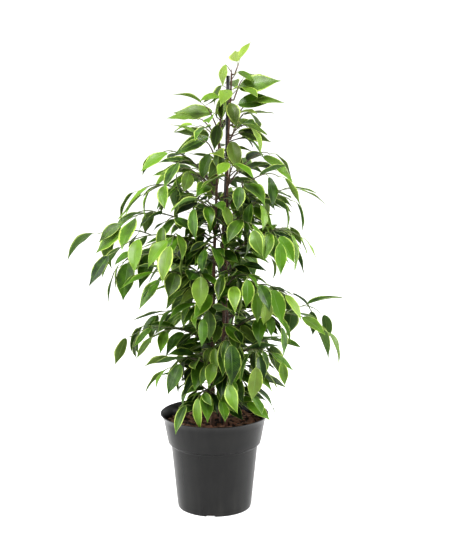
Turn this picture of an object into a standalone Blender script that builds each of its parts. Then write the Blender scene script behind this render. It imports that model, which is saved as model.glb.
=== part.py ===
"""A weeping fig in its nursery pot: a Blender 4.5 script in metres, +Z up.

It runs by itself in an empty or new file. The origin is the middle of the pot's underside, on the floor,
and the view from the front looks along +Y.
"""

import math
import random
from collections import namedtuple

import bmesh
import bpy
from mathutils import Matrix, Vector
from mathutils.bvhtree import BVHTree

UP = Vector((0, 0, 1))

# Pot
POT_HEIGHT = 0.190
LIP_RADIUS = 0.1065
LIP_ROUND = 0.0010
FLARE_Z = 0.174
FLARE_PIECES = 2
FLARE_CURVE = 0.7
BAND_TOP_RADIUS = 0.0992
BAND_BOTTOM_RADIUS = 0.0915
BAND_BOTTOM_Z = 0.132
STEP_DEPTH = 0.004
BODY_TOP_RADIUS = 0.0855
BASE_RADIUS = 0.0725
BASE_ROUND = 0.004
WALL = 0.0024
FLOOR_THICKNESS = 0.003
ROUND_SIDES = 24
CUTTER_SIDES = 8
NOTCH_COUNT = 4
NOTCH_RADIUS = 0.010
NOTCH_SINK = 0.004
NOTCH_TURN = -0.096
DRAIN_RADIUS = 0.006
DRAIN_RING = 0.046

# Soil
GAP = 0.0003
SOIL_WALL_GAP = 0.0009
SOIL_Z = 0.170
SOIL_DIP = 0.004
SOIL_RELIEF = 0.0011
SOIL_WAVES = ((190, 60, 0, 1), (-90, 170, 2, 1), (410, 330, 1, 0.7))
SOIL_RINGS = (0.026, 0.050, 0.075)
HOLE_BOTTOM_Z = 0.118
HOLE_SPARE = 0.0009

# Stake and the woody stems, each with its points up from its buried end
STAKE_RADIUS = 0.0035
STAKE_FOOT = Vector((0.0155, 0.004, HOLE_BOTTOM_Z + GAP))
STAKE_TOP = Vector((0.0265, 0.004, 0.846))
STAKE_SIDES = 2
STEMS = {
    "left": [(-0.004, -0.012, 0.200), (-0.003, -0.011, 0.340), (0.000, -0.009, 0.500),
             (0.006, -0.008, 0.660), (0.013, -0.006, 0.775)],
    "right": [(0.021, -0.012, 0.200), (0.017, -0.012, 0.320), (0.022, -0.011, 0.470),
              (0.025, -0.009, 0.640), (0.029, -0.006, 0.790)],
    "back": [(0.014, 0.020, 0.200), (0.024, 0.019, 0.350), (0.017, 0.017, 0.520),
             (0.024, 0.015, 0.680), (0.031, 0.012, 0.800), (0.033, 0.006, 0.858)],
}
STEM_FOOT_RADIUS = 0.0055
STEM_TOP_RADIUS = 0.0019
STEM_TAPER = 0.8
STEM_UPRIGHT = 0.012
STEM_SIDES = 1
STEM_PIECES = 9
TIE_HEIGHTS = (0.252, 0.305, 0.706)
TIE_RADIUS = 0.0013
TIE_SPARE = 0.0009
TIE_POINTS = 12

# Leafy side branches from the top down: stem, height on it, heading in degrees (0 right, 90 back, 180 left,
# 270 front), reach outwards and height of the tip
SPRAYS = [
    ("back", 0.848, 10, 0.012, 0.868), ("back", 0.800, 5, 0.020, 0.836),
    ("left", 0.750, 190, 0.026, 0.788), ("back", 0.752, 338, 0.034, 0.790),
    ("back", 0.775, 100, 0.045, 0.826), ("right", 0.778, 265, 0.030, 0.815),
    ("left", 0.728, 205, 0.040, 0.765), ("right", 0.735, 330, 0.044, 0.752),
    ("back", 0.725, 45, 0.060, 0.770), ("back", 0.690, 130, 0.070, 0.745),
    ("left", 0.680, 250, 0.050, 0.725), ("left", 0.640, 180, 0.105, 0.698),
    ("left", 0.622, 218, 0.090, 0.672), ("back", 0.640, 8, 0.086, 0.694),
    ("right", 0.605, 325, 0.100, 0.660), ("right", 0.640, 285, 0.070, 0.686),
    ("back", 0.620, 78, 0.090, 0.680), ("back", 0.600, 140, 0.110, 0.655),
    ("left", 0.585, 166, 0.140, 0.628), ("left", 0.565, 243, 0.100, 0.612),
    ("right", 0.560, 352, 0.122, 0.614), ("left", 0.530, 187, 0.170, 0.574),
    ("back", 0.555, 48, 0.120, 0.606), ("right", 0.530, 303, 0.115, 0.572),
    ("back", 0.530, 110, 0.130, 0.584), ("left", 0.500, 198, 0.205, 0.528),
    ("left", 0.495, 268, 0.095, 0.532), ("right", 0.500, 336, 0.150, 0.548),
    ("back", 0.480, 18, 0.150, 0.532), ("back", 0.470, 150, 0.160, 0.508),
    ("left", 0.450, 172, 0.180, 0.482), ("left", 0.440, 226, 0.140, 0.466),
    ("right", 0.440, 288, 0.110, 0.470), ("back", 0.440, 76, 0.140, 0.484),
    ("right", 0.415, 316, 0.120, 0.446), ("back", 0.400, 122, 0.140, 0.428),
    ("left", 0.385, 252, 0.105, 0.408), ("back", 0.375, 28, 0.120, 0.412),
    ("right", 0.350, 348, 0.190, 0.374), ("left", 0.330, 184, 0.155, 0.340),
    ("right", 0.330, 272, 0.080, 0.352), ("back", 0.335, 66, 0.130, 0.366),
    ("back", 0.345, 148, 0.130, 0.372), ("right", 0.290, 318, 0.130, 0.322),
    ("left", 0.285, 222, 0.100, 0.302), ("back", 0.280, 24, 0.105, 0.304),
    ("left", 0.268, 196, 0.075, 0.286), ("right", 0.268, 288, 0.075, 0.276),
    ("back", 0.285, 108, 0.095, 0.300), ("left", 0.228, 256, 0.062, 0.244),
    ("left", 0.415, 278, 0.052, 0.436),
]

# Twigs
TWIG_RADIUS = 0.0023
TWIG_TIP_RADIUS = 0.0016
TWIG_PIECE = 0.040
COLLAR = 0.004
ROOT_GAP = 0.00045
ARCH_SWAY = 0.16
ARCH_SWAY_END = 1.6
ARCH_START = (0.28, 0.26, 0.30)
ARCH_END = (0.74, 0.20)
TWIG_TRIES = 24
TURN_STEP = 0.10

# Forks, their sizes as shares of the main twig's length or of their own
FORK_PLACES = (0.36, 0.62)
FORK_REACH = (0.09, 0.12)
FORK_AHEAD = (0.6, 0.9)
FORK_ASIDE = (0.6, 1.0)
FORK_SIZE = (0.36, 0.48)
FORK_START = (0.35, 0.12)
FORK_END = 0.75
FORK_LIFT = (-0.05, 0.12)
FORK_DROOP = (0.05, 0.30)
FORK_THICKER = 1.2
FORK_PIECES = 2

# Leaves
LEAF_SPACING = 0.0290
FIRST_LEAF = (0.020, 0.016)
LEAF_LENGTH = (0.064, 0.084)
LEAF_HALF_WIDTH = 0.250
LEAF_WIDTHS = (0.82, 1.10)
LEAF_BEND = (0.20, 0.75)
LEAF_FOLD = (0.12, 0.42)
LEAF_WAVE = (0.03, 0.09)
WAVE_TURNS = (7.0, 1.4)
LEAF_DROOP = (2, 42)
FACING_DROOP = 26
LEAF_ROLL = 38
LEAF_SIZE = (0.76, 1.06)
LEAF_AHEAD = (0.6, 1.3)
LEAF_ASIDE = (0.3, 0.8)
LEAF_LIFT = (-0.2, 0.4)
TIP_LEAF_DROOP = (5, 45)
TIP_LEAF_SIZE = (0.70, 0.98)
TIP_LEAF_ASIDE = (-0.3, 0.3)
TIP_LEAF_LIFT = (-0.1, 0.3)
SPREAD_DROOP = 20
SPREAD_TIP_DROOP = 40
SPREAD_STALK = 0.9
SPREAD_SHRINK = 0.25
BODY_END = 0.88
BODY_POWER = 0.80
TIP_HALF = 0.085
TIP_TAPER = 0.20
LEAF_THICKNESS = 0.0012
STALK_LENGTH = 0.012
STALK_SHORTEST = 0.75
STALK_HALF = 0.0007
STALK_ENDS = (0.85, 1.4)
LEAF_RINGS = (0.27, 0.66)
LEAF_TRIES = 26
CLEARANCE = 0.0004

Leaf = namedtuple("Leaf", "root stalk foot heading side normal length half bend fold wave phase")


def clear_scene():
    for old in list(bpy.data.objects):
        bpy.data.objects.remove(old, do_unlink=True)


def new_collection(name):
    collection = bpy.data.collections.new(name)
    bpy.context.scene.collection.children.link(collection)
    return collection


clear_scene()
PARTS = new_collection("weeping_fig")
TOOLS = new_collection("cutters")


def material(name, colour, roughness):
    made = bpy.data.materials.new(name)
    made.use_nodes = True
    surface = made.node_tree.nodes["Principled BSDF"]
    surface.inputs["Base Color"].default_value = (*colour, 1)
    surface.inputs["Roughness"].default_value = roughness
    surface.inputs["Metallic"].default_value = 0
    return made


CHARCOAL = material("charcoal_plastic", (0.035, 0.037, 0.040), 0.42)
EARTH = material("soil", (0.050, 0.028, 0.016), 0.95)
BARK = material("bark", (0.150, 0.090, 0.050), 0.80)
BLACK = material("black_plastic", (0.008, 0.008, 0.009), 0.45)
GREEN = material("leaf", (0.060, 0.170, 0.025), 0.38)


def add_object(name, data, surface, collection=PARTS):
    made = bpy.data.objects.new(name, data)
    if surface:
        data.materials.clear()
        data.materials.append(surface)
    collection.objects.link(made)
    return made


def evaluated_mesh(source):
    depsgraph = bpy.context.evaluated_depsgraph_get()
    return bpy.data.meshes.new_from_object(source.evaluated_get(depsgraph))


def closed_mesh(source):
    """The mesh of a curve object, with its caps welded on; the curve is removed."""
    mesh = evaluated_mesh(source)
    work = bmesh.new()
    work.from_mesh(mesh)
    bmesh.ops.remove_doubles(work, verts=work.verts, dist=0.00001)
    bmesh.ops.recalc_face_normals(work, faces=work.faces)
    work.to_mesh(mesh)
    work.free()
    bpy.data.objects.remove(source, do_unlink=True)
    return mesh


def turned(name, outline, sides, surface):
    """A closed solid turned about Z from an outline that starts on the axis and ends on it."""
    mesh = bpy.data.meshes.new(name)
    edges = [(i, i + 1) for i in range(len(outline) - 1)]
    mesh.from_pydata([(radius, 0, z) for radius, z in outline], edges, [])
    made = add_object(name, mesh, surface)
    screw = made.modifiers.new("turn", "SCREW")
    screw.steps = sides
    screw.render_steps = sides
    screw.use_merge_vertices = True
    screw.merge_threshold = 0.00005
    return made


def cut(target, cutter):
    cutter.hide_render = True
    cutter.display_type = "WIRE"
    boolean = target.modifiers.new(cutter.name, "BOOLEAN")
    boolean.operation = "DIFFERENCE"
    boolean.object = cutter


def rod(name, radius, length, matrix):
    """A round cutter, its axis on the matrix's Z."""
    mesh = bpy.data.meshes.new(name)
    work = bmesh.new()
    bmesh.ops.create_cone(work, cap_ends=True, segments=CUTTER_SIDES, radius1=radius, radius2=radius,
                          depth=length)
    bmesh.ops.transform(work, matrix=matrix, verts=work.verts)
    work.to_mesh(mesh)
    work.free()
    return add_object(name, mesh, None, TOOLS)


def wall_radius(z):
    """The body's outer radius at a height under the band's step."""
    share = z / (BAND_BOTTOM_Z - STEP_DEPTH)
    return BASE_RADIUS + (BODY_TOP_RADIUS - BASE_RADIUS) * share


def band_radius(z):
    """The upper band's outer radius: a straight taper, then a flare that curves out to the lip."""
    if z <= FLARE_Z:
        share = (z - BAND_BOTTOM_Z) / (FLARE_Z - BAND_BOTTOM_Z)
        return BAND_BOTTOM_RADIUS + (BAND_TOP_RADIUS - BAND_BOTTOM_RADIUS) * share
    share = (z - FLARE_Z) / (POT_HEIGHT - FLARE_Z)
    curved = share + FLARE_CURVE * (share * share - share)
    return BAND_TOP_RADIUS + (LIP_RADIUS - BAND_TOP_RADIUS) * curved


def make_pot():
    step_z = BAND_BOTTOM_Z - STEP_DEPTH
    shelf_z = BAND_BOTTOM_Z + WALL
    lip_z = POT_HEIGHT - LIP_ROUND
    flare = [FLARE_Z + (lip_z - FLARE_Z) * i / FLARE_PIECES for i in range(FLARE_PIECES + 1)]
    inside = [(0, FLOOR_THICKNESS), (wall_radius(FLOOR_THICKNESS) - WALL, FLOOR_THICKNESS),
              (wall_radius(step_z) - WALL, step_z), (band_radius(shelf_z) - WALL, shelf_z),
              (band_radius(FLARE_Z) - WALL, FLARE_Z), (band_radius(lip_z) - WALL, lip_z)]
    lip = [(LIP_RADIUS - WALL + LIP_ROUND, POT_HEIGHT), (LIP_RADIUS - LIP_ROUND, POT_HEIGHT)]
    outside = [(band_radius(z), z) for z in reversed(flare)]
    outside += [(BAND_BOTTOM_RADIUS, BAND_BOTTOM_Z), (BODY_TOP_RADIUS, step_z),
                (wall_radius(BASE_ROUND), BASE_ROUND), (BASE_RADIUS - BASE_ROUND / 3, BASE_ROUND / 3),
                (BASE_RADIUS - BASE_ROUND, 0), (0, 0)]
    pot = turned("pot", inside + lip + outside, ROUND_SIDES, CHARCOAL)
    for i in range(NOTCH_COUNT):
        angle = 2 * math.pi * i / NOTCH_COUNT - math.pi / 2 + NOTCH_TURN
        turn = Matrix.Rotation(angle, 4, "Z")
        lying = Matrix.Rotation(math.pi / 2, 4, "Y")
        notch_place = Matrix.Translation((BASE_RADIUS, 0, -NOTCH_SINK)) @ lying
        cut(pot, rod(f"notch_cutter_{i}", NOTCH_RADIUS, BASE_ROUND * 4, turn @ notch_place))
        drain_place = Matrix.Translation((DRAIN_RING, 0, 0))
        cut(pot, rod(f"drain_cutter_{i}", DRAIN_RADIUS, FLOOR_THICKNESS * 4, turn @ drain_place))
    return pot


def soil_height(x, y):
    """Relief of the loose soil: low waves of a few sizes, higher towards the wall."""
    waves = sum(size * math.sin(x * a + y * b + turn) for a, b, turn, size in SOIL_WAVES)
    edge = (math.hypot(x, y) / BAND_TOP_RADIUS) ** 2
    return SOIL_Z - SOIL_DIP * (1 - edge) + SOIL_RELIEF * waves


def stem_foot(points):
    """A stem stands upright in its hole, under the first of its points."""
    x, y, z = points[0]
    return [(x, y, HOLE_BOTTOM_Z + GAP), (x, y, z - STEM_UPRIGHT), *points]


def make_soil():
    floor_z = FLOOR_THICKNESS + GAP
    step_z = BAND_BOTTOM_Z - STEP_DEPTH
    shelf_z = BAND_BOTTOM_Z + WALL
    inset = WALL + SOIL_WALL_GAP
    outline = [(radius, SOIL_Z) for radius in (0, *SOIL_RINGS, band_radius(SOIL_Z) - inset)]
    outline += [(band_radius(shelf_z) - inset, shelf_z + GAP), (wall_radius(step_z) - inset, step_z),
                (wall_radius(floor_z) - inset, floor_z), (0, floor_z)]
    soil = turned("soil", outline, ROUND_SIDES, EARTH)
    mesh = evaluated_mesh(soil)
    soil.modifiers.clear()
    soil.data = mesh
    for vertex in mesh.vertices:
        x, y, z = vertex.co
        if z > SOIL_Z - GAP:
            vertex.co.z = soil_height(x, y)
    feet = {"stake": (STAKE_FOOT, STAKE_TOP - STAKE_FOOT, STAKE_RADIUS)}
    for name, points in STEMS.items():
        feet[name] = (Vector(points[0]), UP, STEM_FOOT_RADIUS)
    for name, (foot, direction, radius) in feet.items():
        length = 2 * (SOIL_Z + SOIL_DIP * 3 - HOLE_BOTTOM_Z)
        middle = Vector((foot.x, foot.y, HOLE_BOTTOM_Z)) + direction.normalized() * length / 2
        place = Matrix.Translation(middle) @ direction.to_track_quat("Z", "Y").to_matrix().to_4x4()
        cut(soil, rod(f"hole_cutter_{name}", radius + HOLE_SPARE, length, place))
    return soil


def tube(name, points, radii, resolution, surface, closed=False, section=None):
    """A curve object along the points, as thick as its radii say, round or swept with a section."""
    curve = bpy.data.curves.new(name, "CURVE")
    curve.dimensions = "3D"
    curve.use_fill_caps = True
    if section:
        curve.bevel_mode = "OBJECT"
        curve.bevel_object = section
    else:
        curve.bevel_depth = 1
        curve.bevel_resolution = resolution
    spline = curve.splines.new("POLY")
    spline.points.add(len(points) - 1)
    spline.use_cyclic_u = closed
    for control, point, radius in zip(spline.points, points, radii):
        control.co = (*point, 1)
        control.radius = radius
    return add_object(name, curve, surface)


def smooth_line(points, share):
    """A point on the smooth line through the points, by share of their count."""
    last = len(points) - 1
    i = min(int(share * last), last - 1)
    t = share * last - i
    p0 = Vector(points[max(i - 1, 0)])
    p1 = Vector(points[i])
    p2 = Vector(points[i + 1])
    p3 = Vector(points[min(i + 2, last)])
    bend = (p2 - p0) * t + (2 * p0 - 5 * p1 + 4 * p2 - p3) * t * t + (3 * p1 - p0 - 3 * p2 + p3) * t ** 3
    return p1 + bend / 2


def stem_radius(z, top):
    share = max(0, min(1, (z - SOIL_Z) / (top - SOIL_Z)))
    return STEM_FOOT_RADIUS + (STEM_TOP_RADIUS - STEM_FOOT_RADIUS) * share ** STEM_TAPER


def make_stem(name):
    points = stem_foot(STEMS[name])
    line = [smooth_line(points, i / STEM_PIECES) for i in range(STEM_PIECES + 1)]
    top = points[-1][2]
    return tube(f"stem_{name}", line, [stem_radius(p.z, top) for p in line], STEM_SIDES, BARK), line


def at_height(line, z):
    """The point of a rising line at a height."""
    for low, high in zip(line, line[1:]):
        if high.z >= z:
            return low.lerp(high, (z - low.z) / (high.z - low.z))
    return line[-1].copy()


def make_tie(number, z, lines):
    """A band that hugs the stake and the stems at one height."""
    rounds = [(at_height([STAKE_FOOT, STAKE_TOP], z), STAKE_RADIUS)]
    for name, line in lines.items():
        rounds.append((at_height(line, z), stem_radius(z, line[-1].z)))
    points = []
    for i in range(TIE_POINTS):
        angle = 2 * math.pi * i / TIE_POINTS
        outward = Vector((math.cos(angle), math.sin(angle), 0))
        centre, radius = max(rounds, key=lambda item: item[0].dot(outward) + item[1])
        points.append(centre + outward * (radius + TIE_SPARE + TIE_RADIUS))
    return tube(f"tie_{number}", points, [TIE_RADIUS] * TIE_POINTS, 0, BLACK, closed=True)


def bezier(p0, p1, p2, p3, t):
    return p0 * (1 - t) ** 3 + 3 * p1 * t * (1 - t) ** 2 + 3 * p2 * t * t * (1 - t) + p3 * t ** 3


def twig_line(number, attempt):
    """The axis of a side branch: out of its stem, up, and over in an arch."""
    stem, height, heading, reach, tip_z = SPRAYS[number]
    draw = random.Random(f"twig {number}")
    turn = (attempt + 1) // 2 * TURN_STEP * (-1) ** attempt
    angle = math.radians(heading) + turn
    out = Vector((math.cos(angle), math.sin(angle), 0))
    across = UP.cross(out) * draw.uniform(-ARCH_SWAY, ARCH_SWAY) * reach
    axis = at_height(stem_lines[stem], height)
    bark, *_ = stem_trees[stem].ray_cast(axis + out * STEM_FOOT_RADIUS * 2, -out)
    root = bark + out * ROOT_GAP
    collar = root + out * COLLAR
    rise = tip_z - height
    p1 = collar + out * ARCH_START[0] * reach + UP * (ARCH_START[1] * reach + ARCH_START[2] * rise)
    p2 = collar + out * ARCH_END[0] * reach + UP * (rise + ARCH_END[1] * reach) + across
    p3 = collar + out * (reach - COLLAR) + UP * rise + across * ARCH_SWAY_END
    count = max(2, round((p3 - collar).length / TWIG_PIECE))
    return [root] + [bezier(collar, p1, p2, p3, i / count) for i in range(count + 1)]


def length_of(line):
    return sum((b - a).length for a, b in zip(line, line[1:]))


def along_line(line, distance):
    """The point at a distance along a line, and the line's direction there."""
    for a, b in zip(line, line[1:]):
        piece = (b - a).length
        if distance <= piece:
            return a.lerp(b, distance / piece), (b - a).normalized()
        distance -= piece
    return line[-1].copy(), (line[-1] - line[-2]).normalized()


def fork_line(number, main, place, hand, attempt):
    """A shorter twig that forks from the main one and droops."""
    draw = random.Random(f"fork {number} {place} {attempt}")
    start, direction = along_line(main, length_of(main) * place)
    across = UP.cross(direction).normalized() * hand
    out = (direction * draw.uniform(*FORK_AHEAD) + across * draw.uniform(*FORK_ASIDE)).normalized()
    size = length_of(main) * draw.uniform(*FORK_SIZE)
    p1 = start + out * size * FORK_START[0] + UP * size * FORK_START[1]
    p2 = start + out * size * FORK_END + UP * size * draw.uniform(*FORK_LIFT)
    p3 = start + out * size - UP * size * draw.uniform(*FORK_DROOP)
    return [bezier(start, p1, p2, p3, i / FORK_PIECES) for i in range(FORK_PIECES + 1)]


def make_leaf(root, stalk, size, droop, roll, draw):
    """A leaf that hangs from its stalk: stalk is the direction in which the stalk leaves the twig."""
    level = stalk.cross(UP).normalized()
    heading = Matrix.Rotation(-droop, 3, level) @ stalk
    normal = Matrix.Rotation(roll, 3, heading) @ level.cross(heading)
    side = heading.cross(normal)
    length = draw.uniform(*LEAF_LENGTH) * size
    foot = root + stalk * STALK_LENGTH * (STALK_SHORTEST + (1 - STALK_SHORTEST) * size)
    half = length * LEAF_HALF_WIDTH * draw.uniform(*LEAF_WIDTHS)
    return Leaf(root, stalk, foot, heading, side, normal, length, half, draw.uniform(*LEAF_BEND),
                draw.uniform(*LEAF_FOLD), draw.uniform(*LEAF_WAVE), draw.uniform(0, 2 * math.pi))


def leaf_outline(along):
    """Half width of the blade as a share of the widest: egg-shaped, with a drawn-out drip tip."""
    body = math.sin(math.pi * (along / BODY_END) ** BODY_POWER) ** BODY_POWER if along < BODY_END else 0
    tip = TIP_HALF * min(1, (1 - along) / TIP_TAPER) if along > BODY_END / 2 else 0
    return max(body, tip)


def leaf_point(leaf, along, across, lift):
    """A point of the blade: along 0 to 1 from foot to tip, across -1 to 1, lift off its middle surface."""
    angle = leaf.bend * along
    forward = leaf.length * math.sin(angle) / leaf.bend
    down = leaf.length * (1 - math.cos(angle)) / leaf.bend
    spine = leaf.foot + leaf.heading * forward - leaf.normal * down
    up = leaf.normal * math.cos(angle) + leaf.heading * math.sin(angle)
    half = leaf.half * leaf_outline(along)
    ripple = leaf.wave * leaf.half * math.sin(WAVE_TURNS[0] * along + WAVE_TURNS[1] * across + leaf.phase)
    flat = leaf.side * across * half * math.cos(leaf.fold)
    return spine + flat + up * (abs(across) * half * math.sin(leaf.fold) + across * across * ripple + lift)


def leaf_solid(leaf):
    """A thin closed leaf: three-sided stalk, four-cornered blade, pointed tip, both faces split alike."""
    level = (leaf.side - leaf.stalk * leaf.side.dot(leaf.stalk)).normalized()
    above = level.cross(leaf.stalk)
    corners = [math.radians(angle) for angle in (150, 30, -90)]
    points = []
    for centre, size in zip((leaf.root, leaf.foot), STALK_ENDS):
        for corner in corners:
            outward = level * math.cos(corner) + above * math.sin(corner)
            points.append(centre + outward * STALK_HALF * size)
    for along in LEAF_RINGS:
        thick = LEAF_THICKNESS / 2
        for across, lift in ((-1, 0), (0, thick), (1, 0), (0, -thick)):
            points.append(leaf_point(leaf, along, across, lift))
    points.append(leaf_point(leaf, 1, 0, 0))
    cap = [(0, 1, 2)]
    stalk = [(0, 3, 4, 1), (1, 4, 5, 2), (2, 5, 3, 0)]
    base = [(3, 6, 7), (3, 7, 4), (4, 7, 8), (4, 8, 5), (5, 8, 9), (5, 9, 6), (5, 6, 3)]
    blade = [(6, 11, 7), (6, 10, 11), (8, 7, 11), (8, 11, 12), (8, 12, 13), (8, 13, 9)]
    blade += [(6, 9, 13), (6, 13, 10)]
    tip = [(10, 14, 11), (11, 14, 12), (12, 14, 13), (13, 14, 10)]
    return points, [face[::-1] for face in cap + stalk + base + blade + tip]


def blade_faces(faces):
    """The faces of a leaf beyond its stalk, which may stay clear of its own twig."""
    return [face for face in faces if min(face) > 2]


class Crowd:
    """What is placed already, for keeping new pieces clear of it."""

    def __init__(self):
        self.items = []

    def add(self, points, faces, owner):
        tree = BVHTree.FromPolygons(points, faces, epsilon=CLEARANCE)
        low = Vector([min(p[k] for p in points) for k in range(3)])
        high = Vector([max(p[k] for p in points) for k in range(3)])
        self.items.append((low, high, tree, owner))

    def add_object(self, source, owner):
        mesh = evaluated_mesh(source)
        points = [vertex.co.copy() for vertex in mesh.vertices]
        self.add(points, [tuple(face.vertices) for face in mesh.polygons], owner)
        bpy.data.meshes.remove(mesh)

    def free(self, points, faces, skip=None):
        tree = BVHTree.FromPolygons(points, faces, epsilon=CLEARANCE)
        low = Vector([min(p[k] for p in points) - CLEARANCE * 2 for k in range(3)])
        high = Vector([max(p[k] for p in points) + CLEARANCE * 2 for k in range(3)])
        for item_low, item_high, item_tree, owner in self.items:
            if owner == skip:
                continue
            if any(low[k] > item_high[k] or high[k] < item_low[k] for k in range(3)):
                continue
            if tree.overlap(item_tree):
                return False
        return True


def three_sided():
    """The section that every twig is swept with, scaled by the twig's radius at each point."""
    curve = bpy.data.curves.new("twig_section", "CURVE")
    curve.dimensions = "2D"
    spline = curve.splines.new("POLY")
    spline.points.add(2)
    spline.use_cyclic_u = True
    for i, control in enumerate(spline.points):
        angle = 2 * math.pi * i / 3
        control.co = (math.cos(angle), math.sin(angle), 0, 1)
    return add_object("twig_section", curve, None, TOOLS)


def twig_solid(name, line, thick, thin):
    last = len(line) - 1
    radii = [thick + (thin - thick) * i / last for i in range(last + 1)]
    return closed_mesh(tube(name, line, radii, 0, GREEN, section=twig_section))


def mesh_lists(mesh):
    return [vertex.co.copy() for vertex in mesh.vertices], [tuple(face.vertices) for face in mesh.polygons]


def grow_twigs(number):
    """The main twig of a spray and its forks, each turned until it is clear of what stands already."""
    owner = f"twig {number}"
    for attempt in range(TWIG_TRIES):
        main = twig_line(number, attempt)
        mesh = twig_solid(f"twig_{number}", main, TWIG_RADIUS, TWIG_TIP_RADIUS)
        if crowd.free(*mesh_lists(mesh)):
            break
        bpy.data.meshes.remove(mesh)
    else:
        raise ValueError(f"no room for twig {number}")
    crowd.add(*mesh_lists(mesh), owner)
    twigs = [(main, mesh)]
    for place, hand, least in zip(FORK_PLACES, (1, -1) if number % 2 else (-1, 1), FORK_REACH):
        if SPRAYS[number][3] < least:
            continue
        for attempt in range(TWIG_TRIES):
            line = fork_line(number, main, place, hand, attempt)
            fork = twig_solid(f"fork_{number}", line, TWIG_TIP_RADIUS * FORK_THICKER, TWIG_TIP_RADIUS)
            if crowd.free(*mesh_lists(fork), skip=owner):
                twigs.append((line, fork))
                break
            bpy.data.meshes.remove(fork)
    for _, fork in twigs[1:]:
        crowd.add(*mesh_lists(fork), owner)
    return twigs


def leaf_places(line, first):
    """Distances along a twig at which its leaves sit, the last one at its tip."""
    total = length_of(line)
    count = max(1, round((total - first) / LEAF_SPACING))
    return [first + (total - first) * i / count for i in range(count)] + [total - STALK_HALF]


def try_leaf(number, branch, index, line, distance, last, attempt):
    """One way to hang a leaf at its place; each attempt turns it a little more."""
    draw = random.Random(f"leaf {number} {branch} {index} {attempt}")
    root, direction = along_line(line, distance)
    across = direction.cross(UP).normalized() * (1 if (index + number) % 2 else -1)
    spread = min(1, attempt / LEAF_TRIES)
    if last:
        stalk = direction + across * draw.uniform(*TIP_LEAF_ASIDE) + UP * draw.uniform(*TIP_LEAF_LIFT)
        least, most = TIP_LEAF_DROOP
        droop = draw.uniform(least, most + SPREAD_TIP_DROOP * spread)
        size = draw.uniform(*TIP_LEAF_SIZE)
    else:
        stalk = across * draw.uniform(*LEAF_ASIDE) + direction * draw.uniform(*LEAF_AHEAD)
        stalk += UP * draw.uniform(*LEAF_LIFT)
        least, most = LEAF_DROOP
        droop = draw.uniform(least - SPREAD_DROOP * spread, most + SPREAD_DROOP * spread)
        size = draw.uniform(*LEAF_SIZE)
    stalk += Vector([draw.uniform(-1, 1) for _ in range(3)]) * SPREAD_STALK * spread
    stalk.normalize()
    droop = math.radians(droop + FACING_DROOP * abs(stalk.y))
    roll = math.radians(draw.uniform(-LEAF_ROLL, LEAF_ROLL)) * (1 + spread)
    return make_leaf(root, stalk, size * (1 - SPREAD_SHRINK * spread), droop, roll, draw)


def grow_leaves(number, twigs):
    """Leaves along every twig of a spray, alternate, each clear of all that is placed already."""
    owner = f"twig {number}"
    leaves = []
    for branch, (line, _) in enumerate(twigs):
        places = leaf_places(line, FIRST_LEAF[min(branch, 1)])
        for index, distance in enumerate(places):
            for attempt in range(LEAF_TRIES):
                leaf = try_leaf(number, branch, index, line, distance, index == len(places) - 1, attempt)
                points, faces = leaf_solid(leaf)
                if crowd.free(points, faces, skip=owner) and crowd.free(points, blade_faces(faces)):
                    crowd.add(points, faces, f"leaf {number}")
                    leaves.append((points, faces))
                    break
    return leaves


def fuse_spray(number, twigs, leaves):
    """One body of a spray: its forks and leaves joined to its main twig."""
    repeats = new_collection(f"repeats_{number}")
    for i, (_, mesh) in enumerate(twigs[1:]):
        add_object(f"fork_{number}_{i}", mesh, GREEN, repeats)
    for i, (points, faces) in enumerate(leaves):
        mesh = bpy.data.meshes.new(f"leaf_{number}_{i}")
        mesh.from_pydata(points, [], faces)
        add_object(f"leaf_{number}_{i}", mesh, GREEN, repeats)
    spray = add_object(f"spray_{number + 1:02d}", twigs[0][1], GREEN)
    union = spray.modifiers.new("join", "BOOLEAN")
    union.operation = "UNION"
    union.operand_type = "COLLECTION"
    union.solver = "MANIFOLD"
    union.collection = repeats
    mesh = evaluated_mesh(spray)
    spray.modifiers.clear()
    spray.data = mesh
    for old in list(repeats.objects):
        bpy.data.objects.remove(old, do_unlink=True)
    bpy.data.collections.remove(repeats)
    return spray


def make_stake():
    """A round rod with a chamfered top."""
    line = [STAKE_FOOT, STAKE_TOP - UP * STAKE_RADIUS, STAKE_TOP]
    return tube("stake", line, [STAKE_RADIUS, STAKE_RADIUS, STAKE_RADIUS / 2], STAKE_SIDES, BLACK)


pot = make_pot()
soil = make_soil()
stake = make_stake()
stem_lines = {}
stem_trees = {}
standing = [pot, soil, stake]
for stem_name in STEMS:
    stem, stem_lines[stem_name] = make_stem(stem_name)
    stem_trees[stem_name] = BVHTree.FromPolygons(*mesh_lists(evaluated_mesh(stem)))
    standing.append(stem)
for tie_number, tie_z in enumerate(TIE_HEIGHTS, 1):
    standing.append(make_tie(tie_number, tie_z, stem_lines))

crowd = Crowd()
for piece in standing:
    crowd.add_object(piece, piece.name)
twig_section = three_sided()
grown = [grow_twigs(number) for number in range(len(SPRAYS))]
leaf_count = 0
for number, twigs in enumerate(grown):
    leaves = grow_leaves(number, twigs)
    leaf_count += len(leaves)
    fuse_spray(number, twigs, leaves)
bpy.data.objects.remove(twig_section, do_unlink=True)
print("leaves", leaf_count)
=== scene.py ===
import math
import random
from collections import namedtuple

import bpy
from mathutils import Matrix, Vector
from mathutils.bvhtree import BVHTree
from mathutils.kdtree import KDTree


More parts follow.
